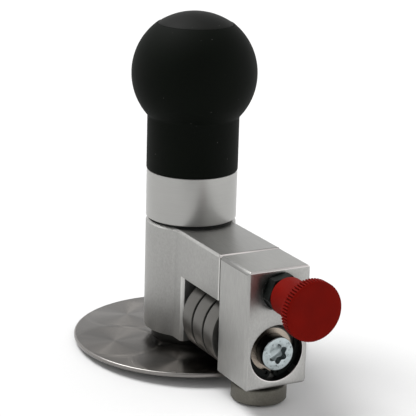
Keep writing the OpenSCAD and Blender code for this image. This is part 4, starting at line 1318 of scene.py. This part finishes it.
class ROLLER_OT_ball_knob(bpy.types.Operator):
    """Build the ball knob and its cap"""
    bl_idname = "roller.ball_knob"
    bl_label = "Ball knob"
    bl_options = {"REGISTER", "UNDO"}

    def execute(self, context):
        build_ball_knob(context.scene.roller_knobs)
        return {"FINISHED"}


class ROLLER_OT_disc(bpy.types.Operator):
    """Build the guide disc with its rim"""
    bl_idname = "roller.disc"
    bl_label = "Guide disc"
    bl_options = {"REGISTER", "UNDO"}

    def execute(self, context):
        build_disc()
        return {"FINISHED"}


class ROLLER_OT_hub(bpy.types.Operator):
    """Build the hub and spindle of the guide disc"""
    bl_idname = "roller.hub"
    bl_label = "Disc hub"
    bl_options = {"REGISTER", "UNDO"}

    def execute(self, context):
        build_hub()
        return {"FINISHED"}


class ROLLER_OT_rollers(bpy.types.Operator):
    """Build the three roller rings and their seals"""
    bl_idname = "roller.rollers"
    bl_label = "Rollers"
    bl_options = {"REGISTER", "UNDO"}

    def execute(self, context):
        build_rollers()
        return {"FINISHED"}


class ROLLER_OT_block(bpy.types.Operator):
    """Build the end block with its bores"""
    bl_idname = "roller.block"
    bl_label = "End block"
    bl_options = {"REGISTER", "UNDO"}

    def execute(self, context):
        build_block(context.scene.roller_edges)
        return {"FINISHED"}


class ROLLER_OT_axle_screw(bpy.types.Operator):
    """Build the axle screw with its socket"""
    bl_idname = "roller.axle_screw"
    bl_label = "Axle screw"
    bl_options = {"REGISTER", "UNDO"}

    def execute(self, context):
        build_axle_screw()
        return {"FINISHED"}


class ROLLER_OT_plunger_sleeve(bpy.types.Operator):
    """Build the threaded sleeve with its hexagon"""
    bl_idname = "roller.plunger_sleeve"
    bl_label = "Plunger sleeve"
    bl_options = {"REGISTER", "UNDO"}

    def execute(self, context):
        build_plunger_sleeve()
        return {"FINISHED"}


class ROLLER_OT_pull_knob(bpy.types.Operator):
    """Build the pull knob with its grip teeth"""
    bl_idname = "roller.pull_knob"
    bl_label = "Pull knob"
    bl_options = {"REGISTER", "UNDO"}

    def execute(self, context):
        build_pull_knob(context.scene.roller_knobs)
        return {"FINISHED"}


class ROLLER_OT_foot_roller(bpy.types.Operator):
    """Build the foot roller below the block"""
    bl_idname = "roller.foot_roller"
    bl_label = "Foot roller"
    bl_options = {"REGISTER", "UNDO"}

    def execute(self, context):
        build_foot_roller()
        return {"FINISHED"}


class ROLLER_OT_spring(bpy.types.Operator):
    """Build the spring inside the plunger"""
    bl_idname = "roller.spring"
    bl_label = "Spring"
    bl_options = {"REGISTER", "UNDO"}

    def execute(self, context):
        build_spring()
        return {"FINISHED"}


class ROLLER_OT_balls(bpy.types.Operator):
    """Build the balls of every bearing"""
    bl_idname = "roller.balls"
    bl_label = "Bearing balls"
    bl_options = {"REGISTER", "UNDO"}

    def execute(self, context):
        build_balls()
        return {"FINISHED"}


class ROLLER_OT_inner_pieces(bpy.types.Operator):
    """Finish the pieces kept from the frame"""
    bl_idname = "roller.inner_pieces"
    bl_label = "Inner pieces"
    bl_options = {"REGISTER", "UNDO"}

    def execute(self, context):
        finish_inner_pieces()
        return {"FINISHED"}


OPERATORS = (ROLLER_OT_stage, ROLLER_OT_finishes, ROLLER_OT_housing, ROLLER_OT_collar,
             ROLLER_OT_ball_knob, ROLLER_OT_disc, ROLLER_OT_hub, ROLLER_OT_rollers,
             ROLLER_OT_block, ROLLER_OT_axle_screw, ROLLER_OT_plunger_sleeve, ROLLER_OT_pull_knob,
             ROLLER_OT_foot_roller, ROLLER_OT_spring, ROLLER_OT_balls, ROLLER_OT_inner_pieces)
SETTINGS = (("roller_edges", EdgeSettings), ("roller_knobs", KnobSettings), ("roller_finish", FinishSettings),
            ("roller_stage", StageSettings))


class ROLLER_PT_panel(bpy.types.Panel):
    bl_idname = "ROLLER_PT_panel"
    bl_label = "Flanging Roller"
    bl_space_type = "VIEW_3D"
    bl_region_type = "UI"
    bl_category = "Flanging Roller"

    def draw(self, context):
        for group, kind in SETTINGS:
            box = self.layout.box()
            for name in kind.__annotations__:
                box.prop(getattr(context.scene, group), name)
        for made in OPERATORS:
            self.layout.operator(made.bl_idname)


def register():
    for _, kind in SETTINGS:
        bpy.utils.register_class(kind)
    for group, kind in SETTINGS:
        setattr(bpy.types.Scene, group, PointerProperty(type=kind))
    for made in OPERATORS:
        bpy.utils.register_class(made)
    bpy.utils.register_class(ROLLER_PT_panel)


def unregister():
    bpy.utils.unregister_class(ROLLER_PT_panel)
    for made in reversed(OPERATORS):
        bpy.utils.unregister_class(made)
    for group, kind in reversed(SETTINGS):
        delattr(bpy.types.Scene, group)
        bpy.utils.unregister_class(kind)


def main():
    register()
    for made in OPERATORS:
        getattr(bpy.ops.roller, made.bl_idname.split(".")[1])()


if __name__ == "__main__":
    main()
